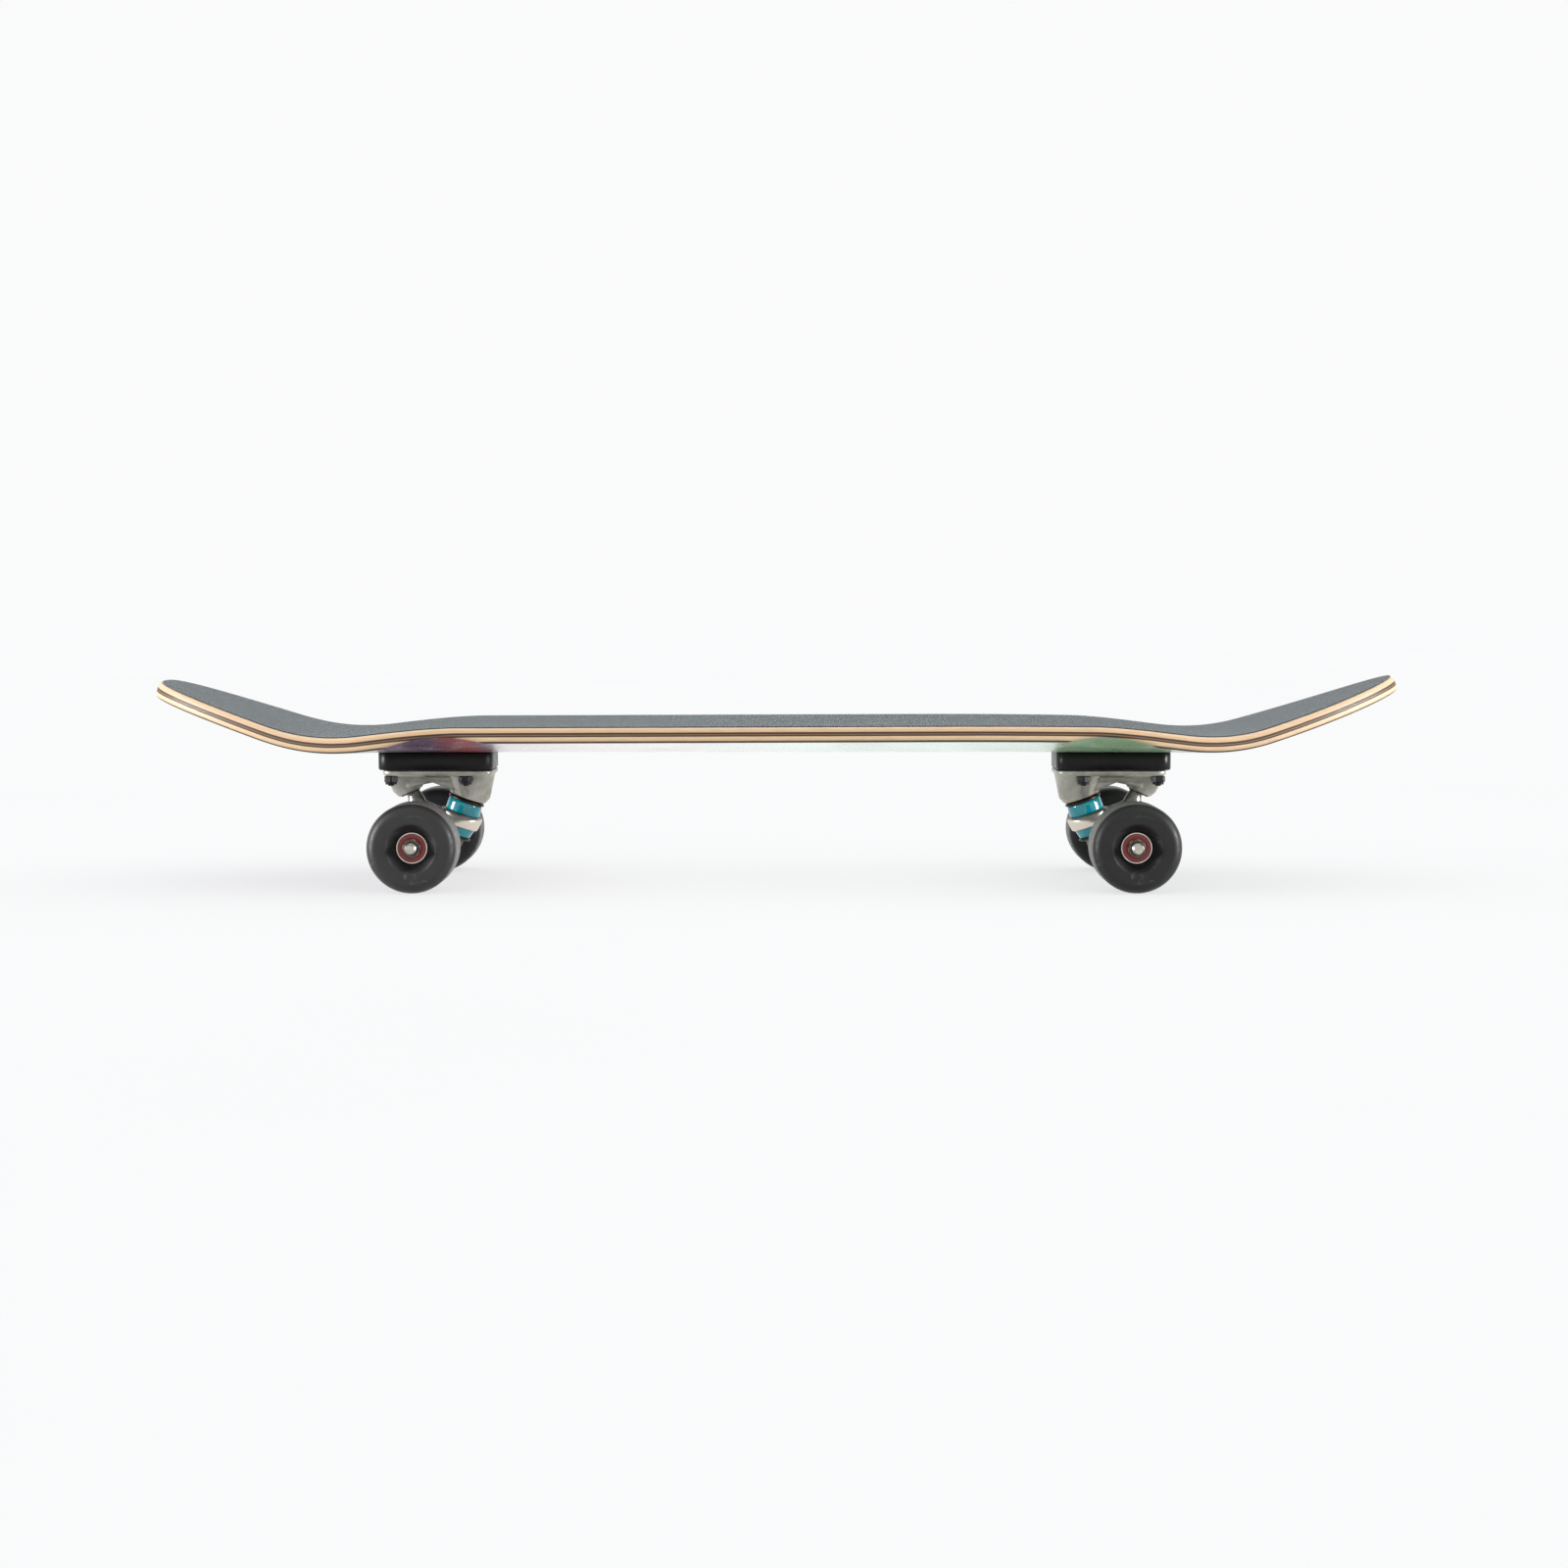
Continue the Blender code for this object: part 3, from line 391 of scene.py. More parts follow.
# The record's material slot for each finish.
SLOTS = {
    "veneer edge underside": "maple", "grip": "grip", "riser": "black_rubber", "cast": "cast_alloy",
    "hanger": "cast_alloy", "bronze": "bronze_steel", "oxide": "black_oxide", "zinc": "bright_steel",
    "nut": "black_oxide", "race": "bright_steel", "shield": "red_shield", "nylon": "black_nylon",
    "rear_wheel": "grey_urethane", "front_wheel": "grey_urethane",
}


# ---- mesh helpers
def shade(mesh, angle):
    """Shades a mesh smooth, with edges above an angle in degrees left sharp."""
    mesh.shade_smooth()
    mesh.set_sharp_from_angle(angle=math.radians(angle))
    return mesh


def mesh_from(bm, name, smooth_angle=40):
    """A mesh with outward faces, shaded smooth up to an angle."""
    bmesh.ops.recalc_face_normals(bm, faces=bm.faces)
    mesh = bpy.data.meshes.new(name)
    bm.to_mesh(mesh)
    bm.free()
    return shade(mesh, smooth_angle)


def new_object(name, data):
    """A new object in the scene."""
    obj = bpy.data.objects.new(name, data)
    bpy.context.scene.collection.objects.link(obj)
    return obj


def show(name, mesh, finish_names, body, replaced=(), matrix=None, slot=None):
    """Puts a finished piece in the scene, on its body; a slot, its finish's unless stated, is worked out
    but not used.
    """
    obj = new_object(name, mesh)
    if not mesh.materials:
        for finish_name in finish_names.split():
            mesh.materials.append(FINISHES[finish_name])
    if matrix is not None:
        obj.matrix_world = matrix
    slot = slot or SLOTS[finish_names]
    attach(obj, body)
    if replaced:
        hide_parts(*replaced)
    return obj


def soften(points, rounding, closed=True, steps=4):
    """A profile with its corners rounded; a point's third number is its own rounding."""
    result = []
    for index, point in enumerate(points):
        corner = np.array(point[:2])
        size = point[2] if len(point) > 2 else rounding
        if size == 0 or (not closed and index in (0, len(points) - 1)):
            result.append(tuple(corner))
            continue
        ends = []
        for other in (points[index - 1], points[(index + 1) % len(points)]):
            side = np.array(other[:2]) - corner
            length = np.linalg.norm(side)
            ends.append(corner + side / length * min(size, 0.48 * length))
        for step in range(steps + 1):
            t = step / steps
            result.append(tuple((1 - t) ** 2 * ends[0] + 2 * t * (1 - t) * corner + t * t * ends[1]))
    return result


def add_turned(bm, profile, steps, matrix=Matrix.Identity(4)):
    """Turns a (radius, height) profile about local Z; an open one starts and ends on the axis."""
    rings = []
    for radius, height in profile:
        if radius < 1e-7:
            rings.append([bm.verts.new(matrix @ Vector((0, 0, height)))])
            continue
        turn = 2 * math.pi / steps
        rings.append([bm.verts.new(matrix @ Vector((radius * math.cos(turn * step),
                                                    radius * math.sin(turn * step), height)))
                      for step in range(steps)])
    pairs = list(zip(rings, rings[1:]))
    if len(rings[0]) > 1:
        pairs.append((rings[-1], rings[0]))
    for upper, lower in pairs:
        for step in range(steps):
            ahead = (step + 1) % steps
            corners = [upper[step % len(upper)], upper[ahead % len(upper)],
                       lower[ahead % len(lower)], lower[step % len(lower)]]
            bm.faces.new(list(dict.fromkeys(corners)))


def turned_mesh(name, profile, steps=64, smooth_angle=35):
    """A mesh turned about local Z."""
    bm = bmesh.new()
    add_turned(bm, profile, steps)
    return mesh_from(bm, name, smooth_angle)


def ring_points(centre, axis, radius, count=24):
    """Points round a circle, for a hull."""
    turn = Vector(axis).to_track_quat("Z", "Y").to_matrix()
    return [Vector(centre) + turn @ Vector((radius * math.cos(2 * math.pi * step / count),
                                            radius * math.sin(2 * math.pi * step / count), 0))
            for step in range(count)]


def ball_points(centre, radius):
    """Points all over a ball, for a hull."""
    points = [Vector(centre) + Vector((0, 0, side * radius)) for side in (-1, 1)]
    for height in range(-60, 61, 30):
        level = math.radians(height)
        points += ring_points(Vector(centre) + Vector((0, 0, radius * math.sin(level))), (0, 0, 1),
                              radius * math.cos(level), 16)
    return points


def box_points(low, high):
    """The eight corners of a box, for a hull."""
    return [Vector(corner) for corner in itertools.product(*zip(low, high))]


def add_hull(bm, points):
    """Adds the closed convex hull of some points."""
    hull = bmesh.new()
    for point in points:
        hull.verts.new(point)
    result = bmesh.ops.convex_hull(hull, input=hull.verts)
    inner = [item for item in result["geom_interior"] + result["geom_unused"]
             if isinstance(item, bmesh.types.BMVert)]
    bmesh.ops.delete(hull, geom=list(set(inner)), context="VERTS")
    bmesh.ops.recalc_face_normals(hull, faces=hull.faces)
    holder = bpy.data.meshes.new("hull")
    hull.to_mesh(holder)
    hull.free()
    bm.from_mesh(holder)
    bpy.data.meshes.remove(holder)


def evaluated_mesh(obj, name):
    """The mesh of an object with its modifiers applied; the object is removed."""
    depsgraph = bpy.context.evaluated_depsgraph_get()
    mesh = bpy.data.meshes.new_from_object(obj.evaluated_get(depsgraph))
    mesh.name = name
    bpy.data.objects.remove(obj)
    return mesh


def cast_mesh(bm, name, voxel, smoothing, cutters):
    """Melts overlapping solids into one casting with soft fillets, then cuts its machined faces."""
    rough = new_object(name + "_rough", mesh_from(bm, name + "_rough"))
    remesh = rough.modifiers.new("Melt", "REMESH")
    remesh.mode = "VOXEL"
    remesh.voxel_size = voxel
    smooth = rough.modifiers.new("Fillets", "SMOOTH")
    smooth.factor = 0.5
    smooth.iterations = smoothing
    mesh = evaluated_mesh(rough, name)
    for cutter in cutters:
        mesh = cut_mesh(mesh, cutter, name)
    return shade(mesh, 42)


def cut_mesh(mesh, cutter, name, operation="DIFFERENCE"):
    """A mesh with a cutter's solids taken away, or kept to what is inside them."""
    body = new_object(name + "_body", mesh)
    tool = new_object(name + "_tool", mesh_from(cutter, name + "_tool"))
    boolean = body.modifiers.new("Cut", "BOOLEAN")
    boolean.operation = operation
    boolean.solver = "EXACT"
    boolean.object = tool
    result = evaluated_mesh(body, name)
    bpy.data.objects.remove(tool)
    return result


def hex_nut_meshes(name, across_flats, height, bore):
    """A chamfered lock nut standing on local z = 0, and the nylon ring held in its collar."""
    corner, flat = across_flats / math.sqrt(3), across_flats / 2
    limit = flat + 0.75 * (corner - flat)
    fall = 0.6 * (corner - flat)
    body_top, neck = 0.7 * height, 0.86 * flat
    seat, pocket = height - 1.6 * MM, neck - 0.5 * MM
    prism = bmesh.new()
    add_turned(prism, [(0, -MM), (corner, -MM), (corner, height + MM), (0, height + MM)], 6)
    envelope = bmesh.new()
    add_turned(envelope, soften([
        (bore, 0), (flat * 0.96, 0), (limit, fall), (limit, body_top - fall),
        (flat * 0.96, body_top), (neck, body_top + 0.2 * MM), (neck, height), (pocket, height),
        (pocket, seat), (bore, seat)], 0.25 * MM, steps=3), 48)
    nut = shade(cut_mesh(mesh_from(prism, name), envelope, name, "INTERSECT"), 30)
    ring = turned_mesh(name + "_ring", soften([
        (pocket - 0.05 * MM, seat + 0.05 * MM), (pocket - 0.05 * MM, height - 0.35 * MM),
        (bore, height - 0.35 * MM), (bore, seat + 0.05 * MM)], 0.2 * MM), 48)
    return nut, ring


# ---- deck
def kick_rise(distance, kick):
    """Height of a kick above the flat, at distances past its start."""
    radius, angle, run_out = kick["radius"], kick["angle"], kick["run_out"]
    past = np.maximum(distance, 0.0)
    bend_run = radius * math.sin(angle)
    bend = radius - np.sqrt(radius ** 2 - np.minimum(past, bend_run) ** 2)
    start = run_out * math.sin(angle)
    beyond = np.maximum(past - bend_run, 0.0)
    return bend + run_out * math.cos(angle) - np.sqrt(run_out ** 2 - (start + beyond) ** 2)


def deck_height(x, y):
    """Top of the wood above the floor."""
    reach = np.abs(x)
    rise = np.where(x > 0, kick_rise(reach - NOSE_KICK["start"], NOSE_KICK),
                    kick_rise(reach - TAIL_KICK["start"], TAIL_KICK))
    t = np.clip((reach - CONCAVE_FADE[0]) / (CONCAVE_FADE[1] - CONCAVE_FADE[0]), 0, 1)
    fade = 1 - t * t * (3 - 2 * t)
    side = np.maximum(np.abs(y) - FLAT_HALF_WIDTH, 0) / (TOP_WIDTH / 2 - FLAT_HALF_WIDTH)
    depth = CONCAVE_RISE + CONCAVE_RISE_PER_METRE * x
    return KEEL_TOP + rise + depth * fade * side ** CONCAVE_POWER


def deck_normal(x, y):
    """Upward unit normal of the deck's top."""
    step = 0.0002
    slope_x = (deck_height(x + step, y) - deck_height(x - step, y)) / (2 * step)
    slope_y = (deck_height(x, y + step) - deck_height(x, y - step)) / (2 * step)
    normal = np.stack([-slope_x, -slope_y, np.ones_like(slope_x)], axis=-1)
    return normal / np.linalg.norm(normal, axis=-1, keepdims=True)


def end_grid(outline, inset, columns):
    """A Coons patch over one end of the deck, from its shoulder (first row) to its round tip."""
    angle = np.linspace(0, math.pi / 2, 4000)
    reach = outline["tip"] - inset - outline["shoulder"]
    half = TOP_WIDTH / 2 - inset
    line_x = outline["shoulder"] + reach * np.sin(angle) ** (2 / outline["along"])
    line_y = half * np.clip(np.cos(angle), 0, 1) ** (2 / outline["across"])
    line_y[-1] = 0.0
    run = np.concatenate([[0], np.cumsum(np.hypot(np.diff(line_x), np.diff(line_y)))])
    corner = np.interp(-CORNER_SHARE * half, -line_y, run)

    def at(distance, side):
        return np.stack([np.interp(distance, run, line_x), side * np.interp(distance, run, line_y)], -1)

    a = np.linspace(0, 1, outline["rows"] + 1)[:, None, None]
    b = np.linspace(0, 1, columns + 1)[None, :, None]
    ones_a, ones_b = np.ones_like(a[:, :, 0]), np.ones_like(b[:, :, 0])
    right = at(corner * a[:, :, 0] * ones_b, -1.0)
    left = at(corner * a[:, :, 0] * ones_b, 1.0)
    side = 2 * b[:, :, 0] * ones_a - 1
    start = np.stack([np.full_like(side, outline["shoulder"]), half * side], -1)
    tip = at(corner + (1 - np.abs(side)) * (run[-1] - corner), np.sign(side))
    corners = ((1 - a) * (1 - b) * start[:, :1] + (1 - a) * b * start[:, -1:]
               + a * (1 - b) * tip[:, :1] + a * b * tip[:, -1:])
    return (1 - b) * right + b * left + (1 - a) * start + a * tip - corners


def deck_grid(inset, columns):
    """Plan places (row, column, xy) that fill the deck's outline, from tail to nose."""
    tail = end_grid(TAIL_OUTLINE, inset, columns)[::-1] * np.array([-1, 1])
    nose = end_grid(NOSE_OUTLINE, inset, columns)
    shoulders = -TAIL_OUTLINE["shoulder"], NOSE_OUTLINE["shoulder"]
    middle_x = np.linspace(*shoulders, MIDDLE_ROWS + 1)[1:-1]
    middle_y = np.linspace(-1, 1, columns + 1) * (TOP_WIDTH / 2 - inset)
    middle = np.stack(np.meshgrid(middle_x, middle_y, indexing="ij"), -1)
    return np.concatenate([tail, middle, nose])


def well_cut(x, y):
    """How much of the wood the sanded wheel wells take away."""
    radius = (WELL_HALF_LENGTH ** 2 + WELL_DEPTH ** 2) / (2 * WELL_DEPTH)
    taken = np.zeros_like(x)
    for prefix, inboard in (("rear", 1), ("front", -1)):
        middle = node_centre(prefix + "_axle").x + inboard * WELL_INBOARD
        along = np.clip(np.abs(x - middle), 0, radius)
        depth = WELL_DEPTH - (radius - np.sqrt(radius ** 2 - along ** 2))
        depth = depth - (TOP_WIDTH / 2 - np.abs(y)) * WELL_SLOPE
        taken = np.maximum(taken, depth)
    return taken


def sheet_mesh(name, plan, top_lift, edge, thickness, with_plies=False):
    """A closed sheet over a plan grid.

    'edge' is (outward, share of thickness) steps from top to bottom. With plies, the top, edge and
    bottom get a material each, and the 'ply' attribute runs down the edge.
    """
    rows, columns = plan.shape[0], plan.shape[1]
    x, y = plan[..., 0], plan[..., 1]
    normal = deck_normal(x, y)
    top = np.stack([x, y, deck_height(x, y)], -1) + normal * top_lift
    depth = thickness(x, y)
    bottom = top - normal * depth[..., None]
    index = np.arange(rows * columns).reshape(rows, columns)
    rim = np.concatenate([index[:, 0], index[-1, 1:], index[-2::-1, -1], index[0, -2:0:-1]])
    rim_top = top.reshape(-1, 3)[rim]
    rim_normal = normal.reshape(-1, 3)[rim]
    rim_depth = depth.reshape(-1)[rim]
    tangent = np.roll(rim_top, -1, 0) - np.roll(rim_top, 1, 0)
    outward = np.cross(tangent, rim_normal)
    outward /= np.linalg.norm(outward, axis=1, keepdims=True)
    points, depths = [top.reshape(-1, 3)], [np.zeros(rows * columns)]
    for out, share in edge:
        down = share * rim_depth
        points.append(rim_top + outward * out - rim_normal * down[:, None])
        depths.append(down)
    points.append(bottom.reshape(-1, 3))
    depths.append(depth.reshape(-1))
    quads = np.stack([index[:-1, :-1], index[1:, :-1], index[1:, 1:], index[:-1, 1:]], -1).reshape(-1, 4)
    last = rows * columns + len(edge) * len(rim)
    loops = [rim] + [rows * columns + step * len(rim) + np.arange(len(rim)) for step in range(len(edge))]
    loops.append(last + rim)
    sides = [np.stack([upper, lower, np.roll(lower, -1), np.roll(upper, -1)], -1)
             for upper, lower in zip(loops, loops[1:])]
    faces = [quads, *sides, (quads + last)[:, ::-1]]
    mesh = bpy.data.meshes.new(name)
    mesh.from_pydata(np.concatenate(points).tolist(), [], np.concatenate(faces).tolist())
    if with_plies:
        slots = np.concatenate([np.full(len(quads), 0), np.full(sum(len(side) for side in sides), 1),
                                np.full(len(quads), 2)])
        mesh.polygons.foreach_set("material_index", slots.astype(np.int32))
        ply = mesh.attributes.new("ply", "FLOAT", "POINT")
        ply.data.foreach_set("value", (np.concatenate(depths) / DECK_THICKNESS).astype(np.float32))
    return shade(mesh, 50)


def edge_steps(radius, thickness):
    """The deck's rounded edge as (outward, share of thickness) steps."""
    steps = []
    for step in range(1, 7):
        turn = math.radians(90 * step / 6)
        steps.append((radius * math.sin(turn), radius * (1 - math.cos(turn)) / thickness))
    straight = [steps[-1][1] + (1 - 2 * steps[-1][1]) * step / 4 for step in (1, 2, 3)]
    lower = [(out, 1 - share) for out, share in reversed(steps)]
    return steps + [(radius, share) for share in straight] + lower


def make_deck():
    """The wood, with its plies on the edge and the wheel wells in the underside."""
    mesh = sheet_mesh("deck_wood", deck_grid(EDGE_RADIUS, WOOD_COLUMNS), 0.0,
                      edge_steps(EDGE_RADIUS, DECK_THICKNESS),
                      lambda x, y: DECK_THICKNESS - well_cut(x, y), with_plies=True)
    show("deck_wood", mesh, "veneer edge underside", "board", ["deck"])


def make_grip():
    """The tape, with a hole over each bolt head."""
    steps = [(0.15 * MM, 0.06), (0.25 * MM, 0.25), (0.25 * MM, 0.95)]
    mesh = sheet_mesh("grip_sheet", deck_grid(TAPE_INSET, TAPE_COLUMNS), TAPE_LIFT, steps,
                      lambda x, y: np.full_like(x, TAPE_THICKNESS))
    holes = bmesh.new()
    for prefix in TRUCKS:
        for number in BOLT_NUMBERS:
            centre = node_centre(f"{prefix}_mount_bolt_{number}")
            place = Matrix.Translation((centre.x, centre.y, KEEL_TOP))
            add_turned(holes, mm((0, 5), (4.9, 5), (4.9, -5), (0, -5)), 32, place)
    mesh = shade(cut_mesh(mesh, holes, "grip_sheet"), 50)
    show("grip_sheet", mesh, "grip", "board", ["grip_tape"])


# ---- hardware
def threaded(radius, start, end, pitch, depth):
    """Profile points of a thread drawn as close grooves, from start to end."""
    count = round(abs(end - start) / pitch)
    points = []
    for turn in range(count):
        for share, drop in ((0.0, depth), (0.3, 0.0), (0.6, 0.0), (0.9, depth)):
            points.append((radius - drop, start + (end - start) * (turn + share) / count))
    return points


def bolt_mesh():
    """A countersunk bolt with a hexagon recess, in row-frame heights."""
    low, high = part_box("rear_mount_bolt_1")
    top, end = high.z, low.z
    head, shank = 4.5 * MM, 2.4 * MM
    profile = soften([(0, top), (head - 0.1 * MM, top), (head, top - 0.35 * MM),
                      (shank, top - 2.6 * MM), (shank, top - 12 * MM)], 0.15 * MM, closed=False, steps=3)
    profile += threaded(shank, end + 10 * MM, end + 1.4 * MM, 0.8 * MM, 0.22 * MM)
    profile += [(shank - 0.5 * MM, end + 0.7 * MM), (0, end + 0.7 * MM)]
    body = turned_mesh("mount_bolt", profile, 32)
    key, depth = 1.85 * MM, 1.9 * MM
    recess = bmesh.new()
    add_turned(recess, [(0, top + MM), (key, top + MM), (key, top - depth), (0, top - 2.5 * MM)], 6)
    return shade(cut_mesh(body, recess, "mount_bolt"), 30)


def make_mount_hardware():
    """The eight bolts and nuts that hold the trucks."""
    bolt = bolt_mesh()
    low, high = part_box("rear_mount_nut_1")
    nut, ring = hex_nut_meshes("mount_nut", 9.5 * MM, high.z - low.z, 2.25 * MM)
    for prefix in TRUCKS:
        for number in BOLT_NUMBERS:
            bolt_name = f"{prefix}_mount_bolt_{number}"
            nut_name = f"{prefix}_mount_nut_{number}"
            centre = node_centre(bolt_name)
            spin = Matrix.Rotation(math.radians(23 * number), 4, "Z")
            show(bolt_name + "_steel", bolt, "oxide", "board", [bolt_name],
                 Matrix.Translation((centre.x, centre.y, 0)) @ spin)
            place = Matrix.Translation((centre.x, centre.y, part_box(nut_name)[1].z)) @ UPSIDE_DOWN
            show(nut_name + "_steel", nut, "oxide", "board", [nut_name], place @ spin)
            show(nut_name + "_insert", ring, "nylon", "board", (), place)


# ---- trucks
def rounded_slab_points(low_x, high_x, half_y, z, corner, count=8):
    """Points round a rectangle with round corners, at one height."""
    points = []
    for quarter in range(4):
        side_x = 1 if quarter in (0, 3) else -1
        side_y = 1 if quarter in (0, 1) else -1
        middle_x = high_x - corner if side_x > 0 else low_x + corner
        for step in range(count + 1):
            turn = math.radians(90 * quarter + 90 * step / count)
            points.append(Vector((middle_x + corner * math.cos(turn),
                                  side_y * (half_y - corner) + corner * math.sin(turn), z)))
    return points


def riser_mesh():
    """A block with round corners and eased edges."""
    low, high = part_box("rear_riser_pad")
    shift = TRUCKS["rear"].translation.x
    low_x, high_x, half_y = low.x - shift, high.x - shift, high.y
    eased = mm((0, 1.1), (0.35, 0.45), (1.1, 0))      # distance from a face, and how far it shrinks
    levels = [(low.z + up, shrink) for up, shrink in eased]
    levels += [(high.z - down, shrink) for down, shrink in reversed(eased)]
    bm = bmesh.new()
    loops = []
    for z, shrink in levels:
        loops.append([bm.verts.new(point) for point in rounded_slab_points(
            low_x + shrink, high_x - shrink, half_y - shrink, z, 9 * MM - shrink, 12)])
    for lower, upper in zip(loops, loops[1:]):
        for step in range(len(lower)):
            ahead = (step + 1) % len(lower)
            bm.faces.new([lower[step], lower[ahead], upper[ahead], upper[step]])
    bm.faces.new(loops[0])
    bm.faces.new(loops[-1])
    return mesh_from(bm, "riser_pad")


def pin_point(along, up, y=0.0):
    """A truck-frame point from its place beside and along the kingpin."""
    return PIN_FRAME @ Vector((along, y, up))


def baseplate_mesh():
    """The cast baseplate: flange, kingpin boss, pivot boss and the arch between them."""
    low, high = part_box("rear_baseplate")
    shift = TRUCKS["rear"].translation.x
    low_x, high_x, half_y, top = low.x - shift, high.x - shift - MM, high.y, high.z
    under = top - 3.9 * MM
    pin_axis = PIN_FRAME.to_3x3() @ Vector((0, 0, 1))
    cup_axis = Matrix.Rotation(CUP_TILT, 3, "Y") @ Vector((0, 0, 1))
    bm = bmesh.new()
    add_hull(bm, rounded_slab_points(low_x, high_x, half_y, top, 7 * MM)
             + rounded_slab_points(low_x, high_x, half_y, under + 1.2 * MM, 7 * MM)
             + rounded_slab_points(low_x + 1.5 * MM, high_x - 1.5 * MM, half_y - 1.5 * MM, under, 6 * MM))
    add_hull(bm, ring_points(pin_point(0, 2.6 * MM), pin_axis, 13.4 * MM)
             + ring_points(pin_point(0.6 * MM, 8 * MM), pin_axis, 15.2 * MM)
             + rounded_slab_points(0.012, high_x - 0.3 * MM, 17 * MM, under + MM, 12 * MM)
             + rounded_slab_points(0.012, high_x - 1.0 * MM, 16.5 * MM, under - 2 * MM, 12 * MM))
    mouth = PIVOT - cup_axis * 3.2 * MM
    add_hull(bm, ring_points(mouth, cup_axis, 9.2 * MM)
             + ring_points(mouth + cup_axis * 5 * MM, cup_axis, 11.6 * MM)
             + box_points((-0.0315, -0.0140, under - 1 * MM), (-0.004, 0.0140, under + MM)))
    arch, half_web = 0.0724, 0.0125
    crown = box_points((0.001, -half_web, arch), (0.004, half_web, top - MM))
    add_hull(bm, box_points((-0.016, -half_web, 0.0685), (-0.0145, half_web, top - MM)) + crown)
    add_hull(bm, crown + box_points((0.0155, -half_web, 0.0668), (0.018, half_web, top - MM)))
    for side in (-1, 1):        # a plain raised bar on each flank of the arch
        add_hull(bm, box_points((-0.007, side * 0.0115, under - 3.4 * MM),
                                (0.0185, side * 0.0136, under - 1.2 * MM)))
    cutter = bmesh.new()
    add_turned(cutter, mm((0, 50), (8.2, 50), (8.2, 16.7), (5.1, 16.7), (5.1, 2.35), (13.9, 2.35),
                          (13.9, -6), (0, -6)), 48, PIN_FRAME)
    cup_frame = Matrix.Translation(PIVOT) @ Matrix.Rotation(CUP_TILT, 4, "Y")
    add_turned(cutter, mm((0, 7), (7.7, 7), (7.7, -20), (0, -20)), 48, cup_frame)
    return cast_mesh(bm, "baseplate", CAST_VOXEL, CAST_SMOOTHING, [cutter])


def hanger_mesh():
    """The cast hanger: arms, spine, pivot stem and ball, and the ring round the bushings' seats."""
    pin_axis = PIN_FRAME.to_3x3() @ Vector((0, 0, 1))
    bm = bmesh.new()
    half = HANGER_HALF_WIDTH
    arm = [(0, half), (8.5 * MM, half)]
    for step in range(1, 25):
        share = 1 - step / 24
        arm.append((8.3 * MM + 3.4 * MM * (1 - share) ** 2.2, half * (0.02 + 0.98 * share)))
    arm += [(radius, -height) for radius, height in reversed(arm)]
    add_turned(bm, arm, 40, Matrix.Translation(AXLE) @ ALONG_Y)
    belt = Vector((0.0205, 0.0, 0.0437))
    belt_half = Vector((0, 0, 0.7 * MM))
    ring = ring_points(belt + belt_half, (0, 0, 1), 16.3 * MM, 56)
    ring += ring_points(belt - belt_half, (0, 0, 1), 16.2 * MM, 56)
    for height, radius in mm((-9.2, 14.6), (-10.4, 15.3), (-17.4, 15.0), (-18.4, 14.4)):
        ring += ring_points(pin_point(0, height), pin_axis, radius, 56)
    add_hull(bm, ring)

    def strut(*balls):
        """A hull round balls given as (x, y, z, radius) in millimetres."""
        points = []
        for x, y, z, radius in balls:
            points += ball_points((x * MM, y * MM, z * MM), radius * MM)
        add_hull(bm, points)

    stem = [(-2.9, 0, 32.0, 11.2), (-8.6, 0, 48.0, 8.0), (-10.4, 0, 56.6, 6.8),
            (-11.9, 0, 61.5, 5.4), (-13.3, 0, 65.0, 4.5), (-16.0, 0, 67.2, 4.2)]
    ridge = [(-7.0, 0, 53.0, 6.2), (0.5, 0, 49.9, 6.0), (6.4, 0, 48.4, 5.5), (10.4, 0, 47.2, 5.2)]
    for spine in (stem, ridge):
        for first, second in zip(spine, spine[1:]):
            strut(first, second)
    strut((-4, 0, 44, 9.0), (8.0, 9.0, 44.0, 4.6), (8.0, -9.0, 44.0, 4.6))
    for side in (-1, 1):
        strut((14.5, side * 13.0, 44.0, 3.0), (7.0, side * 12.0, 46.0, 4.2), (-3.2, side * 24, 33.0, 7.6))
        strut((8.6, side * 8.8, 49.3, 3.5), (2.0, side * 7.5, 47.0, 5.2), (-4.5, side * 27, 34.0, 7.8))
        strut((2.0, side * 7.5, 47.0, 5.2), (-8.5, side * 3.5, 50.0, 5.4), (-4.5, side * 22, 34.5, 8.2))
        strut((-2.9, side * 6, 31.5, 11.0), (-2.9, side * 34, 31.5, 9.6))
    bmesh.ops.create_icosphere(bm, subdivisions=3, radius=5.6 * MM, matrix=Matrix.Translation(PIVOT))
    turn = PIN_FRAME.to_3x3().to_4x4()
    bores = bmesh.new()
    add_turned(bores, mm((0, 9), (13.3, 9), (13.3, 0), (8, 0), (8, -50), (0, -50)), 64,
               Matrix.Translation(pin_point(0, -9.3 * MM)) @ turn)
    spool = [(0, half + 5 * MM), (14 * MM, half + 5 * MM), (14 * MM, half), (4.15 * MM, half)]
    spool += [(radius, -height) for radius, height in reversed(spool)]
    add_turned(bores, spool, 40, Matrix.Translation(AXLE) @ ALONG_Y)
    recess = bmesh.new()
    widen = Matrix.Diagonal((1.0, 17.8 / 13.4, 1.0, 1.0))
    add_turned(recess, mm((0, 0), (13.4, 0), (13.4, -24), (0, -24)), 64,
               Matrix.Translation(pin_point(0, -18.3 * MM)) @ turn @ widen)
    return cast_mesh(bm, "hanger", CAST_VOXEL, CAST_SMOOTHING, [bores, recess])


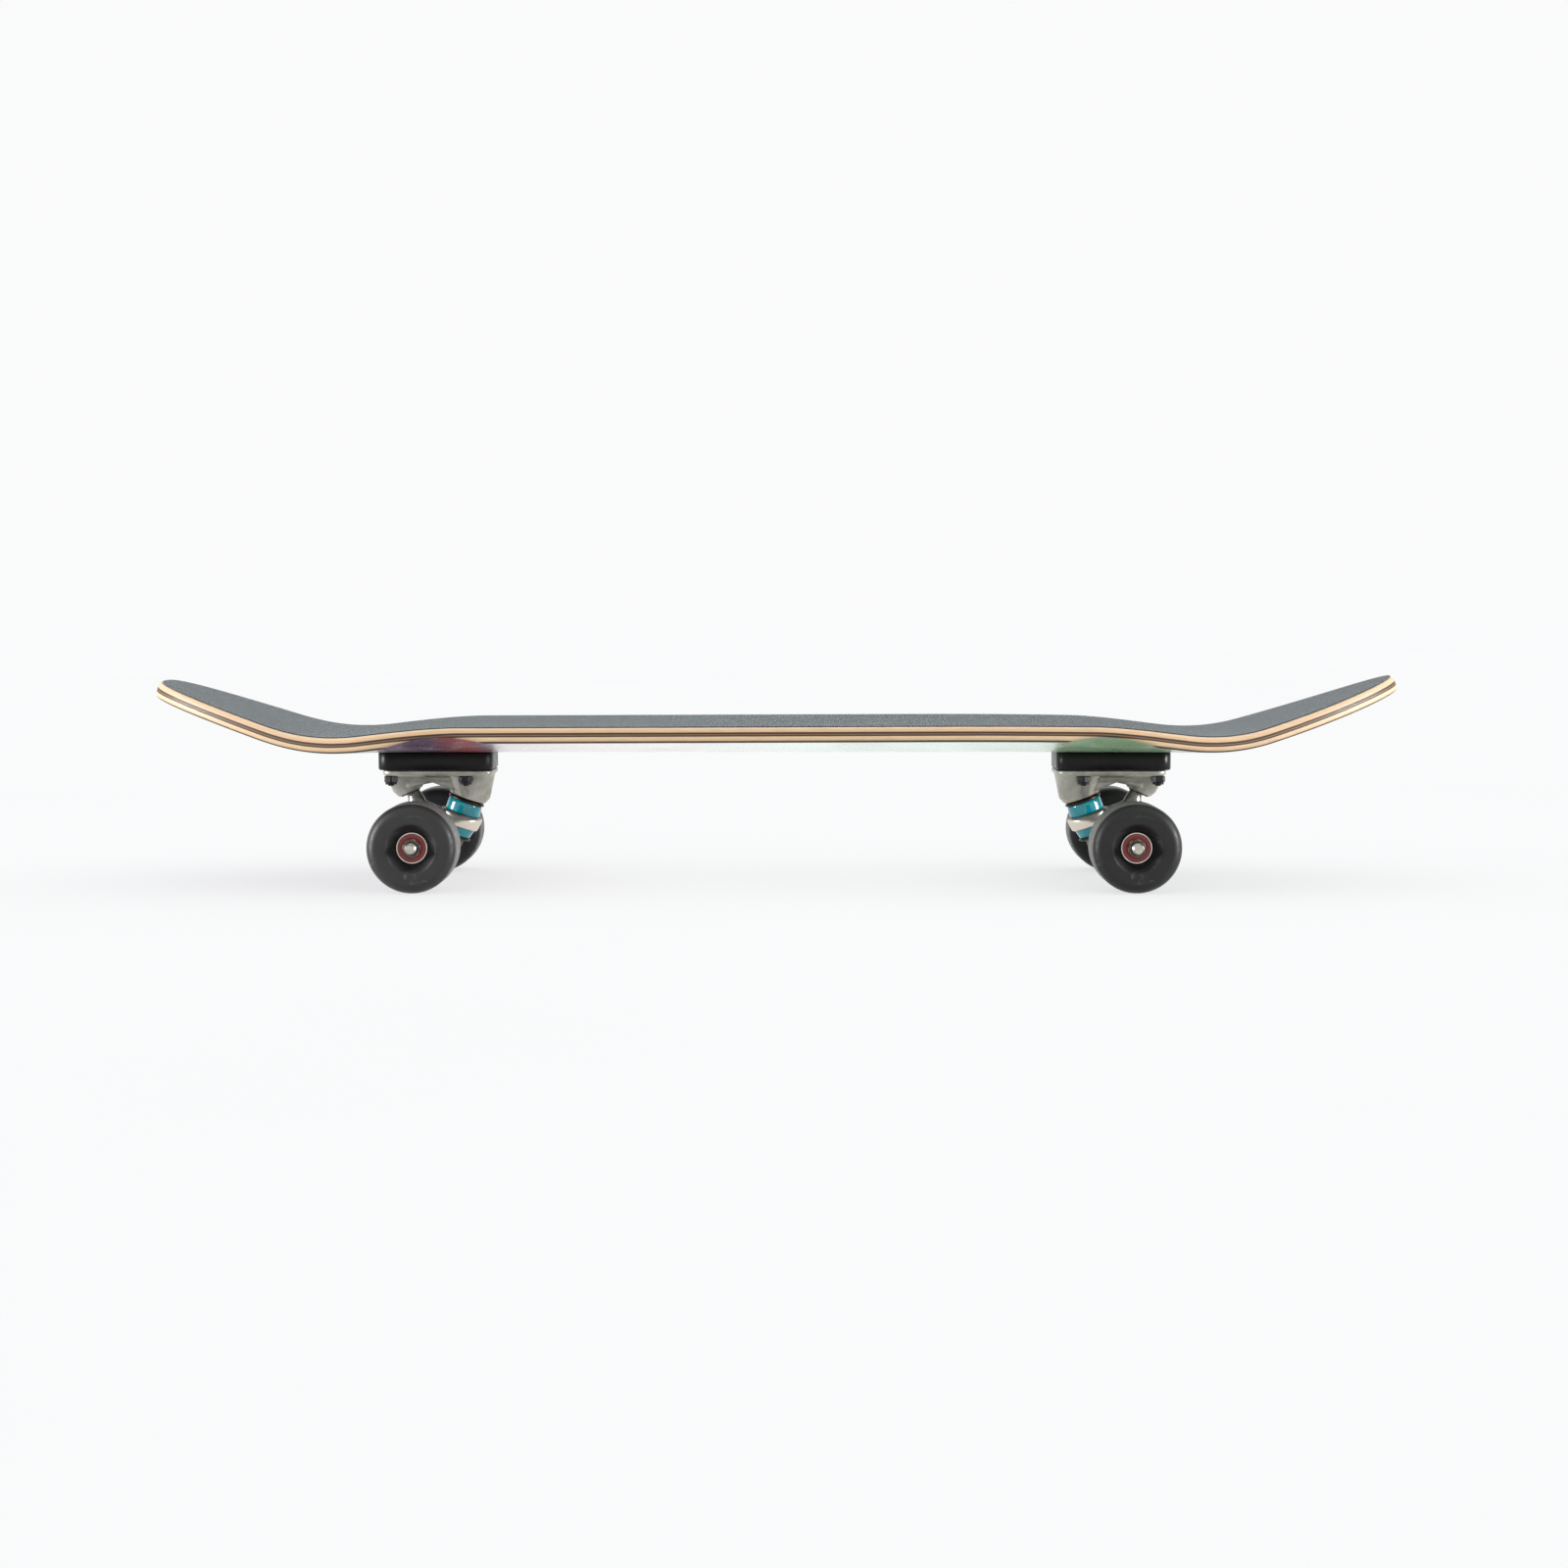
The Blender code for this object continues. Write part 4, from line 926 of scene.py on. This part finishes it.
def washer_mesh(name, radius, thickness, lip):
    """A cup washer turned about the kingpin; its lip stands on the bushing's side (local -Z)."""
    profile = soften([
        (4.9 * MM, thickness / 2), (radius - 1.2 * MM, thickness / 2), (radius, thickness / 2 - 0.7 * MM),
        (radius, -thickness / 2 - lip), (radius - 0.9 * MM, -thickness / 2 - lip),
        (radius - 1.3 * MM, -thickness / 2 + 0.2 * MM), (4.9 * MM, -thickness / 2)], 0.35 * MM)
    return turned_mesh(name, profile, 72)


def bushing_mesh(name, profile):
    """A bushing turned about the kingpin, with extra rings along it."""
    mesh = turned_mesh(name, soften(profile, 0.3 * MM), 72)
    layers = bmesh.new()
    layers.from_mesh(mesh)
    long_edges = [edge for edge in layers.edges if edge.calc_length() > 2 * MM]
    bmesh.ops.subdivide_edges(layers, edges=long_edges, cuts=5, use_grid_fill=True)
    layers.to_mesh(mesh)
    layers.free()
    return shade(mesh, 35)


def kingpin_mesh():
    """The kingpin: a round head at the top and a thread at the bottom."""
    profile = mm((0, 21.2), (7.8, 21.2), (7.8, 17.1), (4.75, 17.1), (4.75, -26.5))
    profile += threaded(4.75 * MM, -26.6 * MM, -36.2 * MM, 1.06 * MM, 0.3 * MM)
    return turned_mesh("kingpin", profile + mm((4.0, -37), (0, -37)), 40, 30)


def axle_mesh():
    """The axle rod, threaded at both ends."""
    half, thread_end = AXLE_HALF_LENGTH, AXLE_HALF_LENGTH - 13 * MM
    profile = [(0, half), (3.1 * MM, half), (3.8 * MM, half - 0.9 * MM)]
    profile += threaded(4.0 * MM, half - 1.1 * MM, thread_end, 1.0 * MM, 0.28 * MM)
    profile.append((4.0 * MM, thread_end))
    profile += [(radius, -height) for radius, height in reversed(profile)]
    return turned_mesh("axle", profile, 40, 30)


def make_trucks():
    """Everything of a truck but its wheels and mounting bolts."""
    riser, baseplate, hanger, axle, pin = (
        riser_mesh(), baseplate_mesh(), hanger_mesh(), axle_mesh(), kingpin_mesh())
    cup = turned_mesh("pivot_cup", soften(
        mm((0, 6.8), (7.6, 6.8), (7.6, -3.9), (6.7, -4.2), (5.9, 0), (5.6, 3.0), (3.0, 5.6), (0, 6.0)),
        0.4 * MM, closed=False), 48)
    board_washer = washer_mesh("board_washer", 13.4 * MM, 1.7 * MM, 0.3 * MM)
    road_washer = washer_mesh("road_washer", 12.5 * MM, 1.5 * MM, 0.2 * MM)
    board_bushing = bushing_mesh("board_bushing", mm(
        (5.1, 0.3), (11.6, 0.3, 0.8), (12.6, -1.2, 1.5), (12.7, -7.6, 0.9), (12.3, -9.25), (5.1, -9.25)))
    road_bushing = bushing_mesh("road_bushing", mm(
        (5.1, -18.35), (12.9, -18.35), (12.6, -20.0, 1.2), (11.2, -24.9, 1.0), (10.4, -25.5), (5.1, -25.5)))
    nut, nut_ring = hex_nut_meshes("kingpin_nut", 14.3 * MM, 7.5 * MM, 4.5 * MM)
    for prefix, truck in TRUCKS.items():
        moving = prefix + "_truck"

        def put(name, mesh, finish, body, node, matrix, slot=None):
            show(prefix + name, mesh, finish, body, [prefix + node] if node else (), matrix, slot)

        pin_frame = truck @ PIN_FRAME
        nut_seat = pin_frame @ lift(-27.7) @ UPSIDE_DOWN
        washer_seat = pin_frame @ lift(1.3)
        road_seat = pin_frame @ lift(-26.5) @ UPSIDE_DOWN
        cup_seat = truck @ Matrix.Translation(PIVOT) @ Matrix.Rotation(CUP_TILT, 4, "Y")
        axle_seat = truck @ Matrix.Translation(AXLE) @ ALONG_Y
        put("_riser", riser, "riser", "board", "_riser_pad", truck)
        put("_baseplate_cast", baseplate, "cast", "board", "_baseplate", truck)
        put("_cup_liner", cup, "nylon", "board", "_pivot_cup", cup_seat)
        put("_pin", pin, "nut", "board", "_kingpin", pin_frame, "bronze_steel")
        put("_pin_nut", nut, "nut", "board", "_kingpin_nut", nut_seat)
        put("_pin_nut_insert", nut_ring, "nylon", "board", "", nut_seat)
        put("_board_cup_washer", board_washer, "bronze", "board", "_board_washer", washer_seat)
        put("_road_cup_washer", road_washer, "bronze", "board", "_road_washer", road_seat)
        put("_hanger_cast", hanger, "hanger", moving, "_hanger", truck)
        put("_axle_rod", axle, "zinc", moving, "_axle", axle_seat)
        for part, mesh, fixed_end, moving_end in (
                ("board_bushing", board_bushing, -0.6 * MM, -9.0 * MM),
                ("road_bushing", road_bushing, -25.0 * MM, -18.6 * MM)):
            piece = new_object(prefix + "_" + part + "_urethane", mesh.copy())
            piece.data.materials.append(FINISHES["teal"])
            piece.matrix_world = pin_frame
            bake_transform(piece)
            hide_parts(prefix + "_" + part)


# ---- wheels
WHEEL_RADIUS = 31.5 * MM
TREAD_HALF_WIDTH = 14.2 * MM
INNER_SIDE = -16 * MM           # below this height the wheel's surface faces the truck


def wheel_mesh():
    """The wheel about local Z: tread, rounded lips, faces, dishes and bearing seats."""
    half = []
    for step in range(13):
        turn = math.radians(16 + 74 * step / 12)
        half.append((24.4 * MM + 6.9 * MM * math.cos(turn), 12.6 * MM + 8.4 * MM * math.sin(turn)))
    half += soften(mm((24.4, 21.0, 0), (17.2, 21.0, 1.4), (12.5, 12.9, 0.8), (11.85, 12.6, 0.2),
                      (11.85, 7.5, 0.2), (11.02, 7.5, 0.1), (11.02, 4.95, 0), (9.0, 4.95, 0)),
                   0, closed=False)[1:]
    down = (0.99, 0.75, 0.5, 0.25)
    shares = (1.0, *down, 0.0, *(-share for share in reversed(down)), -1.0)
    tread = [(WHEEL_RADIUS, TREAD_HALF_WIDTH * share) for share in shares]
    profile = half[::-1] + tread + [(reach, -height) for reach, height in half]
    mesh = turned_mesh("wheel", profile, 128, 40)
    places = [vertex.co for vertex in mesh.vertices]
    reach = mesh.attributes.new("reach", "FLOAT", "POINT")
    reach.data.foreach_set("value", [math.hypot(place.x, place.y) / WHEEL_RADIUS for place in places])
    # painted shade: 1 on the side that faces the truck, where the wheel finish darkens the colour
    painted_shade = mesh.attributes.new("painted_shade", "FLOAT", "POINT")
    painted_shade.data.foreach_set("value", [float(place.z < INNER_SIDE) for place in places])
    return mesh


def make_wheels():
    """The four wheels with their bearings, spacers, washers and nuts."""
    wheels = {"rear": wheel_mesh(), "front": wheel_mesh()}
    race = turned_mesh("bearing_race", soften(
        mm((11.0, 3.5), (11.0, -3.5), (9.9, -3.5), (9.7, -3.0), (9.7, 3.0), (9.9, 3.5)), 0.3 * MM), 96)
    shield = turned_mesh("bearing_shield", soften(
        mm((9.75, 3.15), (9.75, 2.75), (6.25, 2.75), (6.25, 3.0), (7.0, 3.0), (7.4, 3.2), (9.2, 3.2)),
        0.15 * MM), 96)
    sleeve = turned_mesh("bearing_sleeve", soften(
        mm((6.0, 12.0), (6.0, 5.0), (5.4, 4.9), (5.4, -4.9), (6.0, -5.0), (6.0, -12.0), (4.05, -12.0),
           (4.05, 12.0)), 0.2 * MM), 64)
    washer = turned_mesh("speed_washer", soften(
        mm((6.3, 0.5), (6.3, -0.5), (4.1, -0.5), (4.1, 0.5)), 0.2 * MM), 48)
    nut, ring = hex_nut_meshes("axle_nut", 12.0 * MM, 5.9 * MM, 3.8 * MM)
    for prefix, (side_name, side) in itertools.product(TRUCKS, (("left", 1), ("right", -1))):
        name = prefix + "_" + side_name
        joint = next(item for item in frame["joints"] if item["name"] == name + "_spin")
        outward = Matrix.Translation(joint["pos_m"]) @ Matrix.Rotation(-side * math.pi / 2, 4, "X")
        moving, roller = prefix + "_truck", name + "_roller"
        show(name + "_tyre", wheels[prefix], prefix + "_wheel", roller, [name + "_wheel"], outward)
        for where, facing in (("_outer", 0.0), ("_inner", math.pi)):
            facing_side = outward @ Matrix.Rotation(facing, 4, "X")
            place = facing_side @ lift(8.5)
            show(name + where + "_race", race, "race", roller, [name + where + "_bearing"], place)
            show(name + where + "_shield", shield, "shield", roller, (), place)
            show(name + where + "_speed_washer", washer, "zinc", moving, (), facing_side @ lift(12.55))
        show(name + "_sleeve", sleeve, "race", moving, [name + "_bearing_spacer"], outward)
        seat = outward @ lift(13.3) @ Matrix.Rotation(0.3 * side, 4, "Z")
        show(name + "_lock_nut", nut, "nut", moving, [name + "_axle_nut"], seat)
        show(name + "_lock_nut_insert", ring, "nylon", moving, (), seat)


# ---- studio
SURROUND = (0.965, 0.968, 0.972, 1.0)
SURROUND_STRENGTH = 0.99
FLOOR_GLOW = (0.985, 0.992, 1.0, 1.0)       # brings the floor up to the surround's brightness
FLOOR_GLOW_STRENGTH = 0.678
CAMERA_PLACE = (0.005, -2.35, 0.2095)
CAMERA_DOWN = math.radians(3.39)
CAMERA_LENS = 74.15


def area_light(name, place, target, size, power, spared):
    """A soft rectangular light that faces a point and leaves the spared objects alone."""
    data = bpy.data.lights.new(name, "AREA")
    data.shape = "RECTANGLE"
    data.size, data.size_y = size
    data.energy = power
    lamp = new_object(name, data)
    lamp.location = place
    lamp.rotation_euler = (Vector(target) - Vector(place)).to_track_quat("-Z", "Y").to_euler()
    lamp.light_linking.receiver_collection = spared


def make_studio():
    """A pale floor, a pale surround, soft lights and the camera."""
    floor_mesh = bmesh.new()
    bmesh.ops.create_grid(floor_mesh, x_segments=1, y_segments=1, size=30)
    floor = new_object("floor", mesh_from(floor_mesh, "floor"))
    paper = Finish("floor_paper", 0.8, Specular_IOR_Level=0.0, Emission_Strength=FLOOR_GLOW_STRENGTH)
    paper.shader.inputs["Emission Color"].default_value = FLOOR_GLOW
    paper.colour(paper.ramp(paper.noise(1.5, 2), [(0.3, 0.295), (0.7, 0.305)]))
    floor.data.materials.append(paper.material)
    world = bpy.data.worlds.new("surround")
    world.use_nodes = True
    background = world.node_tree.nodes["Background"]
    background.inputs["Color"].default_value = SURROUND
    background.inputs["Strength"].default_value = SURROUND_STRENGTH
    bpy.context.scene.world = world
    spared = bpy.data.collections.new("floor_spared")
    spared.objects.link(floor)
    spared.collection_objects[0].light_linking.link_state = "EXCLUDE"
    area_light("overhead", (0.0, 0.3, 2.4), (0, 0, 0), (3.0, 1.6), 8, spared)
    for name, side in (("left_box", -1), ("right_box", 1)):
        area_light(name, (side * 2.0, -0.48, 0.35), (0, 0, 0.08), (0.45, 0.9), 62, spared)
    camera = bpy.data.cameras.new("camera")
    camera.sensor_width = 36.0
    camera.lens = CAMERA_LENS
    camera.clip_end = 100.0
    viewer = new_object("camera", camera)
    viewer.location = CAMERA_PLACE
    viewer.rotation_euler = (math.pi / 2 - CAMERA_DOWN, 0, 0)
    bpy.context.scene.camera = viewer
    bpy.context.scene.view_settings.view_transform = "Standard"


make_deck()
make_grip()
make_mount_hardware()
make_trucks()
make_wheels()
make_studio()
